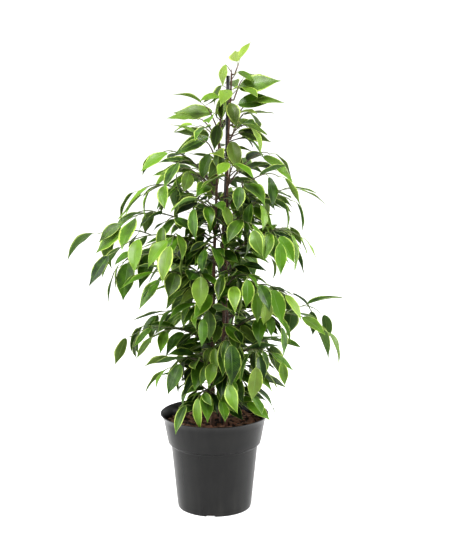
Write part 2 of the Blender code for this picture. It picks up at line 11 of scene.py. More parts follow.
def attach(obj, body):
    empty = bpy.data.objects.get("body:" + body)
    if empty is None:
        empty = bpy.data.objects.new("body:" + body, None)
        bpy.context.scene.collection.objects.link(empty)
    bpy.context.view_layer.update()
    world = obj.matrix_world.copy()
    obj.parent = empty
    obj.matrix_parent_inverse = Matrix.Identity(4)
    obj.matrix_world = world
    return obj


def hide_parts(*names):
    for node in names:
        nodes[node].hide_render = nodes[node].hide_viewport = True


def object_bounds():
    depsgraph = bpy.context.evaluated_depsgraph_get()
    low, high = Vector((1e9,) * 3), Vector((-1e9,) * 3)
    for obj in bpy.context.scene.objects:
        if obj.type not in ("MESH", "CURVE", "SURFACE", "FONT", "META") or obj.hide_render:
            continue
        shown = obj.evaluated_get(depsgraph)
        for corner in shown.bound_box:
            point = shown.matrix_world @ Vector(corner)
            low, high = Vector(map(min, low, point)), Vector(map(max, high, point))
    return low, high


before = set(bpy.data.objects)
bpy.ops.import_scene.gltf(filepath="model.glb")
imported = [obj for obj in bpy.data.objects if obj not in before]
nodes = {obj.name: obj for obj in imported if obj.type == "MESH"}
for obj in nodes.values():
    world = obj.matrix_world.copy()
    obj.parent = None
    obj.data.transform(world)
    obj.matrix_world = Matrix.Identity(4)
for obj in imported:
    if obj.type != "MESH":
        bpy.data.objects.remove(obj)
cad_box = [list(corner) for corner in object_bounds()]

# Studio: the plant stands on a white sweep in even white light, seen from the height of its top and looking
# a little down. A soft box on each side draws the pale bands down the pot's wall, and a third hangs above
# the front.
CAMERA_PLACE = (0.0207, -2.53, 0.92)
CAMERA_DOWN = 10.2
CAMERA_LENS = 87.05
FLOOR_SIZE = 30
FLOOR_Z = -0.0002

scene = bpy.context.scene
scene.view_settings.view_transform = "Standard"
scene.view_settings.look = "Medium High Contrast"
studio = bpy.data.worlds.new("studio")
studio.use_nodes = True
studio.node_tree.nodes["Background"].inputs["Color"].default_value = (1, 1, 1, 1)
studio.node_tree.nodes["Background"].inputs["Strength"].default_value = 1.0
scene.world = studio

bpy.ops.object.camera_add(location=CAMERA_PLACE, rotation=(math.radians(90 - CAMERA_DOWN), 0, 0))
scene.camera = bpy.context.object
scene.camera.data.lens = CAMERA_LENS


def soft_box(name, place, aim, width, height, power):
    """A rectangular light at a place, turned to face the point that it is aimed at."""
    bpy.ops.object.light_add(type="AREA", location=place)
    light = bpy.context.object
    light.name = name
    light.data.shape = "RECTANGLE"
    light.data.size = width
    light.data.size_y = height
    light.data.energy = power
    light.rotation_euler = (Vector(aim) - Vector(place)).to_track_quat("-Z", "Y").to_euler()


soft_box("left_box", (-1.9, -0.4, 0.7), (0, 0, 0.35), 1.5, 1.9, 68)
soft_box("right_box", (2.0, -0.2, 0.7), (0, 0, 0.35), 1.2, 1.9, 94)
soft_box("top_box", (-0.5, -0.9, 2.6), (0, 0, 0.50), 0.8, 0.8, 96)


def add_node(tree, kind, values, **settings):
    """A shader node with its settings and its sockets' values or links."""
    made = tree.nodes.new(kind)
    for name, value in settings.items():
        setattr(made, name, value)
    for socket, value in values.items():
        if isinstance(value, bpy.types.NodeSocket):
            tree.links.new(value, made.inputs[socket])
        else:
            made.inputs[socket].default_value = value
    return made


def new_material(name, roughness):
    """A material with its node tree and its main shader, which gets a first roughness."""
    made = bpy.data.materials.new(name)
    made.use_nodes = True
    shader = made.node_tree.nodes["Principled BSDF"]
    shader.inputs["Roughness"].default_value = roughness
    return made, made.node_tree, shader


def object_place(tree):
    """Where a point lies on its object, for patterns that stay with it."""
    return tree.nodes.new("ShaderNodeTexCoord").outputs["Object"]


def noise(tree, place, scale, detail=2.0, roughness=0.5):
    """A cloudy pattern between 0 and 1."""
    return add_node(tree, "ShaderNodeTexNoise", {"Vector": place, "Scale": scale, "Detail": detail,
                                                 "Roughness": roughness}).outputs["Fac"]


def ramp(tree, factor, stops):
    """A soft change between colours or greys at the given shares."""
    made = add_node(tree, "ShaderNodeValToRGB", {"Fac": factor})
    elements = made.color_ramp.elements
    while len(elements) < len(stops):
        elements.new(0.5)
    for element, (share, colour) in zip(elements, stops):
        element.position = share
        element.color = (*colour, 1) if isinstance(colour, tuple) else (colour, colour, colour, 1)
    return made.outputs["Color"]


floor_paint, floor_tree, floor_shader = new_material("white_sweep", 0.9)
floor_shader.inputs["Emission Color"].default_value = (1, 1, 1, 1)
floor_shader.inputs["Emission Strength"].default_value = 0.56
floor_place = object_place(floor_tree)
floor_tree.links.new(ramp(floor_tree, noise(floor_tree, floor_place, 3), [(0, 0.46), (1, 0.48)]),
                     floor_shader.inputs["Base Color"])
bpy.ops.object.select_all(action="DESELECT")
bpy.ops.mesh.primitive_plane_add(size=FLOOR_SIZE, location=(0, 0, FLOOR_Z))
floor = bpy.context.object
floor.name = "floor"
floor.data.materials.append(floor_paint)

# Pot: one thin-walled shell of charcoal plastic, injection moulded. Its band flares out to the rim, a step
# under the band lets pots stack, and arched notches and round holes let water drain from its floor.
POT_HEIGHT = 0.190
LIP_RADIUS = 0.1065
LIP_ROUND = 0.0010
FLARE_Z = 0.174
FLARE_CURVE = 0.7
FLARE_RINGS = 9
BAND_TOP_RADIUS = 0.0992
BAND_BOTTOM_RADIUS = 0.0915
BAND_BOTTOM_Z = 0.132
STEP_DEPTH = 0.004
BODY_TOP_RADIUS = 0.0855
BASE_RADIUS = 0.0725
BASE_ROUND = 0.004
WALL = 0.0024
FLOOR_THICKNESS = 0.003
POT_SIDES = 128
EDGE_STEPS = 3
NOTCH_COUNT = 4
NOTCH_RADIUS = 0.010
NOTCH_SINK = 0.004
NOTCH_TURN = -0.096
DRAIN_RADIUS = 0.006
DRAIN_RING = 0.046
CUTTER_SIDES = 32
FOOT_ROUND = BASE_ROUND * 0.60
FOOT_ROUND_Z = BASE_ROUND * 0.62
BODY_RINGS_Z = (0.008, 0.030, 0.060, 0.090)
BAND_RINGS_Z = (0.142, 0.158)
STEP_FILLET = 0.0006
STEP_FILLET_Z = 0.0012
STEP_EDGE = ((-0.0018, -0.0006), (-0.0004, 0.0002), (0, 0.0012))
POT_CREASE = math.radians(28)


def wall_radius(z):
    """The body's outer radius at a height under the band's step."""
    share = z / (BAND_BOTTOM_Z - STEP_DEPTH)
    return BASE_RADIUS + (BODY_TOP_RADIUS - BASE_RADIUS) * share


def band_radius(z):
    """The upper band's outer radius: a straight taper, then a flare that curves out to the lip."""
    if z <= FLARE_Z:
        share = (z - BAND_BOTTOM_Z) / (FLARE_Z - BAND_BOTTOM_Z)
        return BAND_BOTTOM_RADIUS + (BAND_TOP_RADIUS - BAND_BOTTOM_RADIUS) * share
    share = (z - FLARE_Z) / (POT_HEIGHT - FLARE_Z)
    curved = share + FLARE_CURVE * (share * share - share)
    return BAND_TOP_RADIUS + (LIP_RADIUS - BAND_TOP_RADIUS) * curved


def rounded(centre, size, start, end):
    """Points of a rounded edge, as radius and height, from one angle to another in degrees."""
    angles = [math.radians(start + (end - start) * i / EDGE_STEPS) for i in range(EDGE_STEPS + 1)]
    return [(centre[0] + size * math.cos(angle), centre[1] + size * math.sin(angle)) for angle in angles]


def turn_up(name, outline, sides):
    """A closed round body: a disc at the outline's first point, extruded and resized point by point."""
    bpy.ops.object.select_all(action="DESELECT")
    radius, z = outline[0]
    bpy.ops.mesh.primitive_circle_add(vertices=sides, radius=radius, fill_type="NGON", location=(0, 0, z))
    made = bpy.context.object
    made.name = name
    bpy.ops.object.mode_set(mode="EDIT")
    for next_radius, next_z in outline[1:]:
        bpy.ops.mesh.extrude_region_move(TRANSFORM_OT_translate={"value": (0, 0, next_z - z)})
        share = next_radius / radius
        bpy.ops.transform.resize(value=(share, share, 1), center_override=(0, 0, next_z))
        radius, z = next_radius, next_z
    bpy.ops.mesh.select_all(action="SELECT")
    bpy.ops.mesh.normals_make_consistent(inside=False)
    bpy.ops.object.mode_set(mode="OBJECT")
    settle(made)
    return made


def select_only(pieces):
    """Selects the pieces and nothing else, with the first one active."""
    bpy.ops.object.select_all(action="DESELECT")
    for piece in pieces:
        piece.select_set(True)
    bpy.context.view_layer.objects.active = pieces[0]


def settle(piece):
    """Puts the piece's place, turn and size into its mesh."""
    select_only([piece])
    bpy.ops.object.transform_apply(location=True, rotation=True, scale=True)


def cut_away(piece, radius, length, place, turn):
    """Cuts a round hole, its axis through a place, into the piece."""
    bpy.ops.object.select_all(action="DESELECT")
    bpy.ops.mesh.primitive_cylinder_add(vertices=CUTTER_SIDES, radius=radius, depth=length, location=place,
                                        rotation=turn)
    cutter = bpy.context.object
    hole = piece.modifiers.new("hole", "BOOLEAN")
    hole.operation = "DIFFERENCE"
    hole.object = cutter
    bpy.context.view_layer.objects.active = piece
    bpy.ops.object.modifier_apply(modifier=hole.name)
    bpy.data.objects.remove(cutter, do_unlink=True)


def stretched(tree, place, scale):
    """The place scaled by axis, for patterns that run one way."""
    return add_node(tree, "ShaderNodeMapping", {"Vector": place, "Scale": scale}).outputs["Vector"]


def blend_colours(tree, share, first, second):
    """The first colour with a share of the second mixed in."""
    mix = add_node(tree, "ShaderNodeMix", {0: share}, data_type="RGBA", blend_type="MIX")
    for socket, value in ((6, first), (7, second)):
        if isinstance(value, bpy.types.NodeSocket):
            tree.links.new(value, mix.inputs[socket])
        else:
            mix.inputs[socket].default_value = (*value, 1)
    return mix.outputs[2]


def work_out(tree, operation, first, second=0.0, third=0.0):
    """The result of one sum, with numbers or other nodes' results. Only MULTIPLY_ADD reads the third."""
    return add_node(tree, "ShaderNodeMath", {0: first, 1: second, 2: third}, operation=operation).outputs[0]


def roughen(tree, shader, height, strength, distance):
    """Makes the surface look as uneven as the height says."""
    bump = add_node(tree, "ShaderNodeBump", {"Height": height, "Strength": strength, "Distance": distance})
    tree.links.new(bump.outputs["Normal"], shader.inputs["Normal"])


pot_lip_z = POT_HEIGHT - LIP_ROUND
pot_step_z = BAND_BOTTOM_Z - STEP_DEPTH
pot_shelf_z = BAND_BOTTOM_Z + WALL
pot_flare = [FLARE_Z + (pot_lip_z - FLARE_Z) * i / FLARE_RINGS for i in range(FLARE_RINGS + 1)]
pot_outline = [(BASE_RADIUS - BASE_ROUND, 0)]
pot_outline += rounded((BASE_RADIUS - FOOT_ROUND, FOOT_ROUND_Z), FOOT_ROUND, -80, 0)
pot_outline += [(wall_radius(z), z) for z in (*BODY_RINGS_Z, pot_step_z - STEP_FILLET_Z)]
pot_outline += [(BODY_TOP_RADIUS + STEP_FILLET, pot_step_z)]
pot_outline += [(BAND_BOTTOM_RADIUS + out, BAND_BOTTOM_Z + up) for out, up in STEP_EDGE]
pot_outline += [(band_radius(z), z) for z in (*BAND_RINGS_Z, *pot_flare)]
pot_outline += rounded((LIP_RADIUS - LIP_ROUND, pot_lip_z), LIP_ROUND, 20, 90)
pot_outline += [(LIP_RADIUS - WALL + LIP_ROUND / 2, POT_HEIGHT)]
pot_outline += [(LIP_RADIUS - WALL, POT_HEIGHT - LIP_ROUND / 2)]
pot_outline += [(band_radius(z) - WALL, z - LIP_ROUND) for z in reversed(pot_flare)]
pot_outline += [(band_radius(pot_shelf_z) - WALL, pot_shelf_z)]
pot_outline += [(wall_radius(z) - WALL, z) for z in (pot_step_z, FLOOR_THICKNESS)]
pot = turn_up("nursery_pot", pot_outline, POT_SIDES)
for i in range(NOTCH_COUNT):
    angle = 2 * math.pi * i / NOTCH_COUNT - math.pi / 2 + NOTCH_TURN
    out = Vector((math.cos(angle), math.sin(angle), 0))
    cut_away(pot, NOTCH_RADIUS, BASE_ROUND * 4, out * BASE_RADIUS - Vector((0, 0, NOTCH_SINK)),
             (math.pi / 2, 0, angle + math.pi / 2))
    cut_away(pot, DRAIN_RADIUS, FLOOR_THICKNESS * 4, out * DRAIN_RING, (0, 0, 0))
bpy.ops.object.shade_smooth_by_angle(angle=POT_CREASE)

plastic, pot_tree, pot_shader = new_material("charcoal_plastic", 0.40)
pot_place = object_place(pot_tree)
pot_cloud = noise(pot_tree, pot_place, 26, 4)
pot_grain = noise(pot_tree, pot_place, 900, 2)
pot_height = add_node(pot_tree, "ShaderNodeSeparateXYZ", {"Vector": pot_place}).outputs["Z"]
pot_streaks = noise(pot_tree, stretched(pot_tree, pot_place, (60, 60, 5)), 1, 3)
pot_shader.inputs["Specular IOR Level"].default_value = 0.23
pot_colour = ramp(pot_tree, pot_cloud, [(0.30, (0.0040, 0.0040, 0.0040)),
                                        (0.75, (0.0070, 0.0070, 0.0068))])
pot_up = work_out(pot_tree, "MULTIPLY", pot_height, 5.2)
pot_dust = work_out(pot_tree, "MULTIPLY", ramp(pot_tree, pot_streaks, [(0.45, 0.0), (0.80, 1.0)]),
                    ramp(pot_tree, pot_up, [(0.0, 0.30), (0.35, 0.06), (1.0, 0.12)]))
pot_colour = blend_colours(pot_tree, pot_dust, pot_colour, (0.040, 0.038, 0.034))
pot_tree.links.new(pot_colour, pot_shader.inputs["Base Color"])
pot_tree.links.new(ramp(pot_tree, pot_streaks, [(0.3, 0.27), (0.8, 0.38)]), pot_shader.inputs["Roughness"])
roughen(pot_tree, pot_shader, pot_grain, 0.16, 0.0004)
pot.data.materials.append(plastic)
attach(pot, "root")
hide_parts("pot")

# Soil: loose dark peat with chips of reddish bark and crumbs on top, filled in close under the rim. The
# stems and the stake stand in it.
GAP = 0.0003
SOIL_WALL_GAP = 0.0009
SOIL_Z = 0.170
SOIL_DIP = 0.004
SOIL_RELIEF = 0.0011
SOIL_WAVES = ((190, 60, 0, 1), (-90, 170, 2, 1), (410, 330, 1, 0.7))
SOIL_SIDES = 96
SOIL_RINGS = 26
SOIL_LUMPS = 0.0022
SOIL_CALM = 0.004
HOLE_BOTTOM_Z = 0.118
HOLE_SPARE = 0.0009
LEAN_SPARE = 0.0006
CHIP_COUNT = 230
CHIP_BEVEL = 0.16
CHIP_UNEVEN = 0.10
CHIP_SIZE = ((0.007, 0.019), (0.004, 0.009), (0.002, 0.0045))
CHIP_RISE = 0.0022
CHIP_TILT = 0.4
CRUMB_COUNT = 520
CRUMB_SIZE = (0.0012, 0.0040)
CRUMB_MARGIN = 0.003
CRUMB_RISE = 0.0008
FULL_TURN = 6.28
STAKE_RADIUS = 0.0035
STAKE_FOOT = Vector((0.0155, 0.004, HOLE_BOTTOM_Z + GAP))
STAKE_TOP = Vector((0.0265, 0.004, 0.846))
STEM_FOOT_RADIUS = 0.0055
STEMS = {
    "left": [(-0.004, -0.012, 0.200), (-0.003, -0.011, 0.340), (0.000, -0.009, 0.500),
             (0.006, -0.008, 0.660), (0.013, -0.006, 0.775)],
    "right": [(0.021, -0.012, 0.200), (0.017, -0.012, 0.320), (0.022, -0.011, 0.470),
              (0.025, -0.009, 0.640), (0.029, -0.006, 0.790)],
    "back": [(0.014, 0.020, 0.200), (0.024, 0.019, 0.350), (0.017, 0.017, 0.520),
             (0.024, 0.015, 0.680), (0.031, 0.012, 0.800), (0.033, 0.006, 0.858)],
}


def soil_height(x, y):
    """Relief of the loose soil: low waves of a few sizes, higher towards the wall."""
    waves = sum(size * math.sin(x * a + y * b + turn) for a, b, turn, size in SOIL_WAVES)
    edge = (math.hypot(x, y) / BAND_TOP_RADIUS) ** 2
    return SOIL_Z - SOIL_DIP * (1 - edge) + SOIL_RELIEF * waves


def set_tone(mesh, name, value):
    """Stores one colour for a whole mesh, which its material reads."""
    tone = mesh.attributes.new(name, "FLOAT_COLOR", "POINT")
    tone.data.foreach_set("color", [*value] * len(mesh.vertices))


def join_pieces(pieces, name):
    """One object of several, with a name."""
    select_only(pieces)
    bpy.ops.object.join()
    pieces[0].name = name
    return pieces[0]


def scatter(form, place, turn, size, name, tone):
    """A copy of a small form with its own mesh, at a place."""
    copy = bpy.data.objects.new(name, form.data.copy())
    scene.collection.objects.link(copy)
    copy.data.transform(Matrix.LocRotScale(place, turn, size))
    set_tone(copy.data, "chip_tone", tone)
    return copy


soil_inset = WALL + SOIL_WALL_GAP
soil_floor_z = FLOOR_THICKNESS + GAP
soil_outline = [(wall_radius(z) - soil_inset, z) for z in (soil_floor_z, pot_step_z)]
soil_outline += [(band_radius(pot_shelf_z) - soil_inset, pot_shelf_z + GAP)]
soil_edge = band_radius(SOIL_Z) - soil_inset
soil_outline += [(soil_edge * (1 - i / SOIL_RINGS), SOIL_Z) for i in range(SOIL_RINGS)]
soil = turn_up("potting_soil", soil_outline, SOIL_SIDES)
soil_draw = random.Random("soil")
for vertex in soil.data.vertices:
    x, y, z = vertex.co
    if z > SOIL_Z - GAP:
        away = min(1, (soil_edge - math.hypot(x, y)) / SOIL_CALM)
        vertex.co.z = soil_height(x, y) + SOIL_LUMPS * soil_draw.uniform(-0.5, 0.5) * away
soil_holes = [(STAKE_FOOT.x + LEAN_SPARE, STAKE_FOOT.y, STAKE_RADIUS + LEAN_SPARE)]
soil_holes += [(points[0][0], points[0][1], STEM_FOOT_RADIUS) for points in STEMS.values()]
hole_length = 2 * (SOIL_Z + SOIL_DIP * 3 - HOLE_BOTTOM_Z)
for x, y, radius in soil_holes:
    cut_away(soil, radius + HOLE_SPARE, hole_length, (x, y, HOLE_BOTTOM_Z + hole_length / 2), (0, 0, 0))
set_tone(soil.data, "chip_tone", (0, 0.5, 0, 1))

bpy.ops.object.select_all(action="DESELECT")
bpy.ops.mesh.primitive_cube_add(size=1)
chip_form = bpy.context.object
bpy.ops.object.mode_set(mode="EDIT")
bpy.ops.mesh.select_all(action="SELECT")
bpy.ops.mesh.bevel(offset=CHIP_BEVEL, segments=1, affect="EDGES")
bpy.ops.transform.vertex_random(offset=CHIP_UNEVEN, seed=3)
bpy.ops.object.mode_set(mode="OBJECT")
bpy.ops.mesh.primitive_ico_sphere_add(subdivisions=1, radius=0.5)
crumb_form = bpy.context.object


def loose_place(draw, margin):
    """A place on the soil, clear of the stems, the stake and the pot's wall."""
    while True:
        radius = (soil_edge - margin) * math.sqrt(draw.random())
        angle = draw.uniform(0, 2 * math.pi)
        x, y = radius * math.cos(angle), radius * math.sin(angle)
        feet = [(STAKE_FOOT.x, STAKE_FOOT.y)] + [points[0][:2] for points in STEMS.values()]
        if all(math.hypot(x - foot[0], y - foot[1]) > STEM_FOOT_RADIUS + margin for foot in feet):
            return Vector((x, y, soil_height(x, y)))


soil_parts = [soil]
for i in range(CHIP_COUNT):
    size = Vector([soil_draw.uniform(*span) for span in CHIP_SIZE])
    place = loose_place(soil_draw, size.x / 2) + Vector((0, 0, soil_draw.uniform(0, CHIP_RISE)))
    turn = Matrix.Rotation(soil_draw.uniform(0, FULL_TURN), 3, "Z")
    turn = turn @ Matrix.Rotation(soil_draw.uniform(-CHIP_TILT, CHIP_TILT), 3, "Y")
    tone = (1, soil_draw.random(), soil_draw.random(), 1)
    soil_parts.append(scatter(chip_form, place, turn.to_quaternion(), size, "chip", tone))
for i in range(CRUMB_COUNT):
    size = Vector([soil_draw.uniform(*CRUMB_SIZE) for _ in range(3)])
    place = loose_place(soil_draw, CRUMB_MARGIN) + Vector((0, 0, CRUMB_RISE))
    turn = Matrix.Rotation(soil_draw.uniform(0, FULL_TURN), 3, "X")
    tone = (soil_draw.uniform(0, 0.55), soil_draw.random(), soil_draw.random(), 1)
    soil_parts.append(scatter(crumb_form, place, turn.to_quaternion(), size, "crumb", tone))
bpy.data.objects.remove(chip_form, do_unlink=True)
bpy.data.objects.remove(crumb_form, do_unlink=True)
soil = join_pieces(soil_parts, "potting_soil")

earth, soil_tree, soil_shader = new_material("peat_and_bark", 0.92)
soil_place = object_place(soil_tree)
soil_tone = add_node(soil_tree, "ShaderNodeAttribute", {}, attribute_name="chip_tone").outputs["Color"]
soil_tones = add_node(soil_tree, "ShaderNodeSeparateColor", {"Color": soil_tone})
peat = ramp(soil_tree, noise(soil_tree, soil_place, 260, 5, 0.65), [(0.30, (0.007, 0.004, 0.003)),
                                                                  (0.75, (0.045, 0.025, 0.014))])
bark_grain = noise(soil_tree, stretched(soil_tree, soil_place, (1, 4, 2)), 240, 4, 0.6)
bark_brown = ramp(soil_tree, bark_grain, [(0.25, (0.045, 0.018, 0.009)), (0.80, (0.240, 0.105, 0.050))])
bark_grey = blend_colours(soil_tree, soil_tones.outputs["Green"], bark_brown, (0.16, 0.085, 0.050))
soil_tree.links.new(blend_colours(soil_tree, soil_tones.outputs["Red"], peat, bark_grey),
                    soil_shader.inputs["Base Color"])
roughen(soil_tree, soil_shader, noise(soil_tree, soil_place, 700, 4, 0.7), 0.7, 0.0012)
soil.data.materials.append(earth)
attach(soil, "root")
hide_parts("soil")

# Stake: a thin black plastic rod, pushed upright into the soil between the stems to hold them straight.
STAKE_ROUND_SIDES = 24
STAKE_SLIMMER = 0.97
STAKE_END = 0.3
STAKE_EDGE = math.radians(40)
STAKE_CREASE = math.radians(35)


def mottled(name, roughness, size, grain, dark, pale):
    """A plain material in two shades, with patches and grain of the given fineness."""
    made, tree, shader = new_material(name, roughness)
    place = object_place(tree)
    colour = ramp(tree, noise(tree, place, size, 3), [(0.3, dark), (0.8, pale)])
    tree.links.new(colour, shader.inputs["Base Color"])
    roughen(tree, shader, noise(tree, place, grain, 2), 0.2, 0.0003)
    return made


bpy.ops.object.select_all(action="DESELECT")
stake_way = STAKE_TOP - STAKE_FOOT
bpy.ops.mesh.primitive_cylinder_add(vertices=STAKE_ROUND_SIDES, radius=STAKE_RADIUS * STAKE_SLIMMER,
                                    depth=stake_way.length, location=(STAKE_TOP + STAKE_FOOT) / 2,
                                    rotation=stake_way.to_track_quat("Z", "Y").to_euler())
stake = bpy.context.object
stake.name = "plant_stake"
stake_end = stake.modifiers.new("rounded_end", "BEVEL")
stake_end.width = STAKE_RADIUS * STAKE_END
stake_end.segments = 2
stake_end.limit_method = "ANGLE"
stake_end.angle_limit = STAKE_EDGE
bpy.ops.object.modifier_apply(modifier="rounded_end")
settle(stake)
bpy.ops.object.shade_smooth_by_angle(angle=STAKE_CREASE)
black = mottled("black_plastic", 0.45, 120, 1500, (0.006, 0.006, 0.007), (0.018, 0.018, 0.019))
stake.data.materials.append(black)
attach(stake, "root")
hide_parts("stake")

# Stems: three woody stems of the fig, planted together. Their bark is brown with reddish parts, fine cracks
# and pale dots, and they swell a little where a side branch leaves and taper to a bud.
STEM_TOP_RADIUS = 0.0019
STEM_TAPER = 0.8
STEM_UPRIGHT = 0.012
STEM_PIECES = 9
STEM_STEPS = 110
SWELLING = 0.16
SWELLING_LENGTH = 0.005
BUD_THIN = 0.25
BUD_LENGTH = 0.022
BARK_SLIMMER = 0.90
BARK_UNEVEN = 0.03
SPRAYS = [
    ("back", 0.848, 10, 0.012, 0.868), ("back", 0.800, 5, 0.020, 0.836),
    ("left", 0.750, 190, 0.026, 0.788), ("back", 0.752, 338, 0.034, 0.790),
    ("back", 0.775, 100, 0.045, 0.826), ("right", 0.778, 265, 0.030, 0.815),
    ("left", 0.728, 205, 0.040, 0.765), ("right", 0.735, 330, 0.044, 0.752),
    ("back", 0.725, 45, 0.060, 0.770), ("back", 0.690, 130, 0.070, 0.745),
    ("left", 0.680, 250, 0.050, 0.725), ("left", 0.640, 180, 0.105, 0.698),
    ("left", 0.622, 218, 0.090, 0.672), ("back", 0.640, 8, 0.086, 0.694),
    ("right", 0.605, 325, 0.100, 0.660), ("right", 0.640, 285, 0.070, 0.686),
    ("back", 0.620, 78, 0.090, 0.680), ("back", 0.600, 140, 0.110, 0.655),
    ("left", 0.585, 166, 0.140, 0.628), ("left", 0.565, 243, 0.100, 0.612),
    ("right", 0.560, 352, 0.122, 0.614), ("left", 0.530, 187, 0.170, 0.574),
    ("back", 0.555, 48, 0.120, 0.606), ("right", 0.530, 303, 0.115, 0.572),
    ("back", 0.530, 110, 0.130, 0.584), ("left", 0.500, 198, 0.205, 0.528),
    ("left", 0.495, 268, 0.095, 0.532), ("right", 0.500, 336, 0.150, 0.548),
    ("back", 0.480, 18, 0.150, 0.532), ("back", 0.470, 150, 0.160, 0.508),
    ("left", 0.450, 172, 0.180, 0.482), ("left", 0.440, 226, 0.140, 0.466),
    ("right", 0.440, 288, 0.110, 0.470), ("back", 0.440, 76, 0.140, 0.484),
    ("right", 0.415, 316, 0.120, 0.446), ("back", 0.400, 122, 0.140, 0.428),
    ("left", 0.385, 252, 0.105, 0.408), ("back", 0.375, 28, 0.120, 0.412),
    ("right", 0.350, 348, 0.190, 0.374), ("left", 0.330, 184, 0.155, 0.340),
    ("right", 0.330, 272, 0.080, 0.352), ("back", 0.335, 66, 0.130, 0.366),
    ("back", 0.345, 148, 0.130, 0.372), ("right", 0.290, 318, 0.130, 0.322),
    ("left", 0.285, 222, 0.100, 0.302), ("back", 0.280, 24, 0.105, 0.304),
    ("left", 0.268, 196, 0.075, 0.286), ("right", 0.268, 288, 0.075, 0.276),
    ("back", 0.285, 108, 0.095, 0.300), ("left", 0.228, 256, 0.062, 0.244),
    ("left", 0.415, 278, 0.052, 0.436),
]


def smooth_line(points, share):
    """A point on the smooth line through the points, by share of their count."""
    last = len(points) - 1
    i = min(int(share * last), last - 1)
    t = share * last - i
    p0 = Vector(points[max(i - 1, 0)])
    p1 = Vector(points[i])
    p2 = Vector(points[i + 1])
    p3 = Vector(points[min(i + 2, last)])
    bend = (p2 - p0) * t + (2 * p0 - 5 * p1 + 4 * p2 - p3) * t * t + (3 * p1 - p0 - 3 * p2 + p3) * t ** 3
    return p1 + bend / 2


def stem_foot(points):
    """A stem stands upright in its hole, under the first of its points."""
    x, y, z = points[0]
    return [(x, y, HOLE_BOTTOM_Z + GAP), (x, y, z - STEM_UPRIGHT), *points]


def stem_radius(z, top):
    """A stem's radius at a height, thinner towards its top."""
    share = max(0, min(1, (z - SOIL_Z) / (top - SOIL_Z)))
    return STEM_FOOT_RADIUS + (STEM_TOP_RADIUS - STEM_FOOT_RADIUS) * share ** STEM_TAPER


def swept(name, lines, resolution, surface):
    """One mesh of round rods: each line is a list of points with their radii, or a closed ring of them."""
    curve = bpy.data.curves.new(name, "CURVE")
    curve.dimensions = "3D"
    curve.bevel_depth = 1
    curve.bevel_resolution = resolution
    curve.use_fill_caps = True
    for points, radii, closed in lines:
        spline = curve.splines.new("POLY")
        spline.points.add(len(points) - 1)
        spline.use_cyclic_u = closed
        for control, point, radius in zip(spline.points, points, radii):
            control.co = (*point, 1)
            control.radius = radius
        spline.use_smooth = True
    curve.materials.append(surface)
    made = bpy.data.objects.new(name, curve)
    scene.collection.objects.link(made)
    select_only([made])
    bpy.ops.object.convert(target="MESH")
    made = bpy.context.object
    bpy.ops.object.mode_set(mode="EDIT")
    bpy.ops.mesh.select_all(action="SELECT")
    bpy.ops.mesh.remove_doubles(threshold=0.00001)
    bpy.ops.mesh.normals_make_consistent(inside=False)
    bpy.ops.object.mode_set(mode="OBJECT")
    return made


bark, bark_tree, bark_shader = new_material("fig_bark", 0.78)
bark_place = object_place(bark_tree)
bark_streaks = noise(bark_tree, stretched(bark_tree, bark_place, (4, 4, 1)), 110, 5, 0.6)
bark_patches = noise(bark_tree, bark_place, 34, 3)
bark_cells = add_node(bark_tree, "ShaderNodeTexVoronoi", {"Vector": bark_place, "Scale": 420.0})
bark_colour = ramp(bark_tree, bark_streaks, [(0.25, (0.026, 0.014, 0.009)),
                                             (0.55, (0.075, 0.040, 0.024)),
                                             (0.85, (0.160, 0.105, 0.065))])
bark_red = ramp(bark_tree, bark_patches, [(0.50, 0.0), (0.70, 0.75)])
bark_colour = blend_colours(bark_tree, bark_red, bark_colour, (0.100, 0.032, 0.016))
bark_dots = ramp(bark_tree, bark_cells.outputs["Distance"], [(0.10, 0.7), (0.22, 0.0)])
bark_colour = blend_colours(bark_tree, bark_dots, bark_colour, (0.28, 0.21, 0.14))
bark_tree.links.new(bark_colour, bark_shader.inputs["Base Color"])
roughen(bark_tree, bark_shader, bark_streaks, 0.6, 0.0010)

stem_lines = {}
for stem_name, points in STEMS.items():
    points = stem_foot(points)
    stem_lines[stem_name] = [smooth_line(points, i / STEM_PIECES) for i in range(STEM_PIECES + 1)]
    fine_line = [smooth_line(stem_lines[stem_name], i / STEM_STEPS) for i in range(STEM_STEPS + 1)]
    draw = random.Random(f"bark {stem_name}")
    radii = []
    for point in fine_line:
        swell = sum(math.exp(-((point.z - height) / SWELLING_LENGTH) ** 2)
                    for name, height, *_ in SPRAYS if name == stem_name)
        bud = min(1, BUD_THIN + (points[-1][2] - point.z) / BUD_LENGTH)
        base = stem_radius(point.z, points[-1][2]) * BARK_SLIMMER * bud
        radii.append(base * (1 + SWELLING * min(1, swell) + draw.uniform(-BARK_UNEVEN, BARK_UNEVEN)))
    stem = swept(f"woody_stem_{stem_name}", [(fine_line, radii, False)], 4, bark)
    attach(stem, "root")
    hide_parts(f"stem_{stem_name}")

# Ties: soft black plastic bands, each wrapped once round the stake and the stems and twisted shut in front.
TIE_HEIGHTS = (0.252, 0.305, 0.706)
TIE_RADIUS = 0.0013
TIE_SPARE = 0.0009
TIE_POINTS = 48
TIE_SLANT = 0.04
TWIST_POINTS = 8
TWIST_STEP = 0.0009
TWIST_START = 0.0012
TWIST_TURN = 1.3
TWIST_THIN = 0.7


def at_height(line, z):
    """The point of a rising line at a height."""
    for low, high in zip(line, line[1:]):
        if high.z >= z:
            return low.lerp(high, (z - low.z) / (high.z - low.z))
    return line[-1].copy()


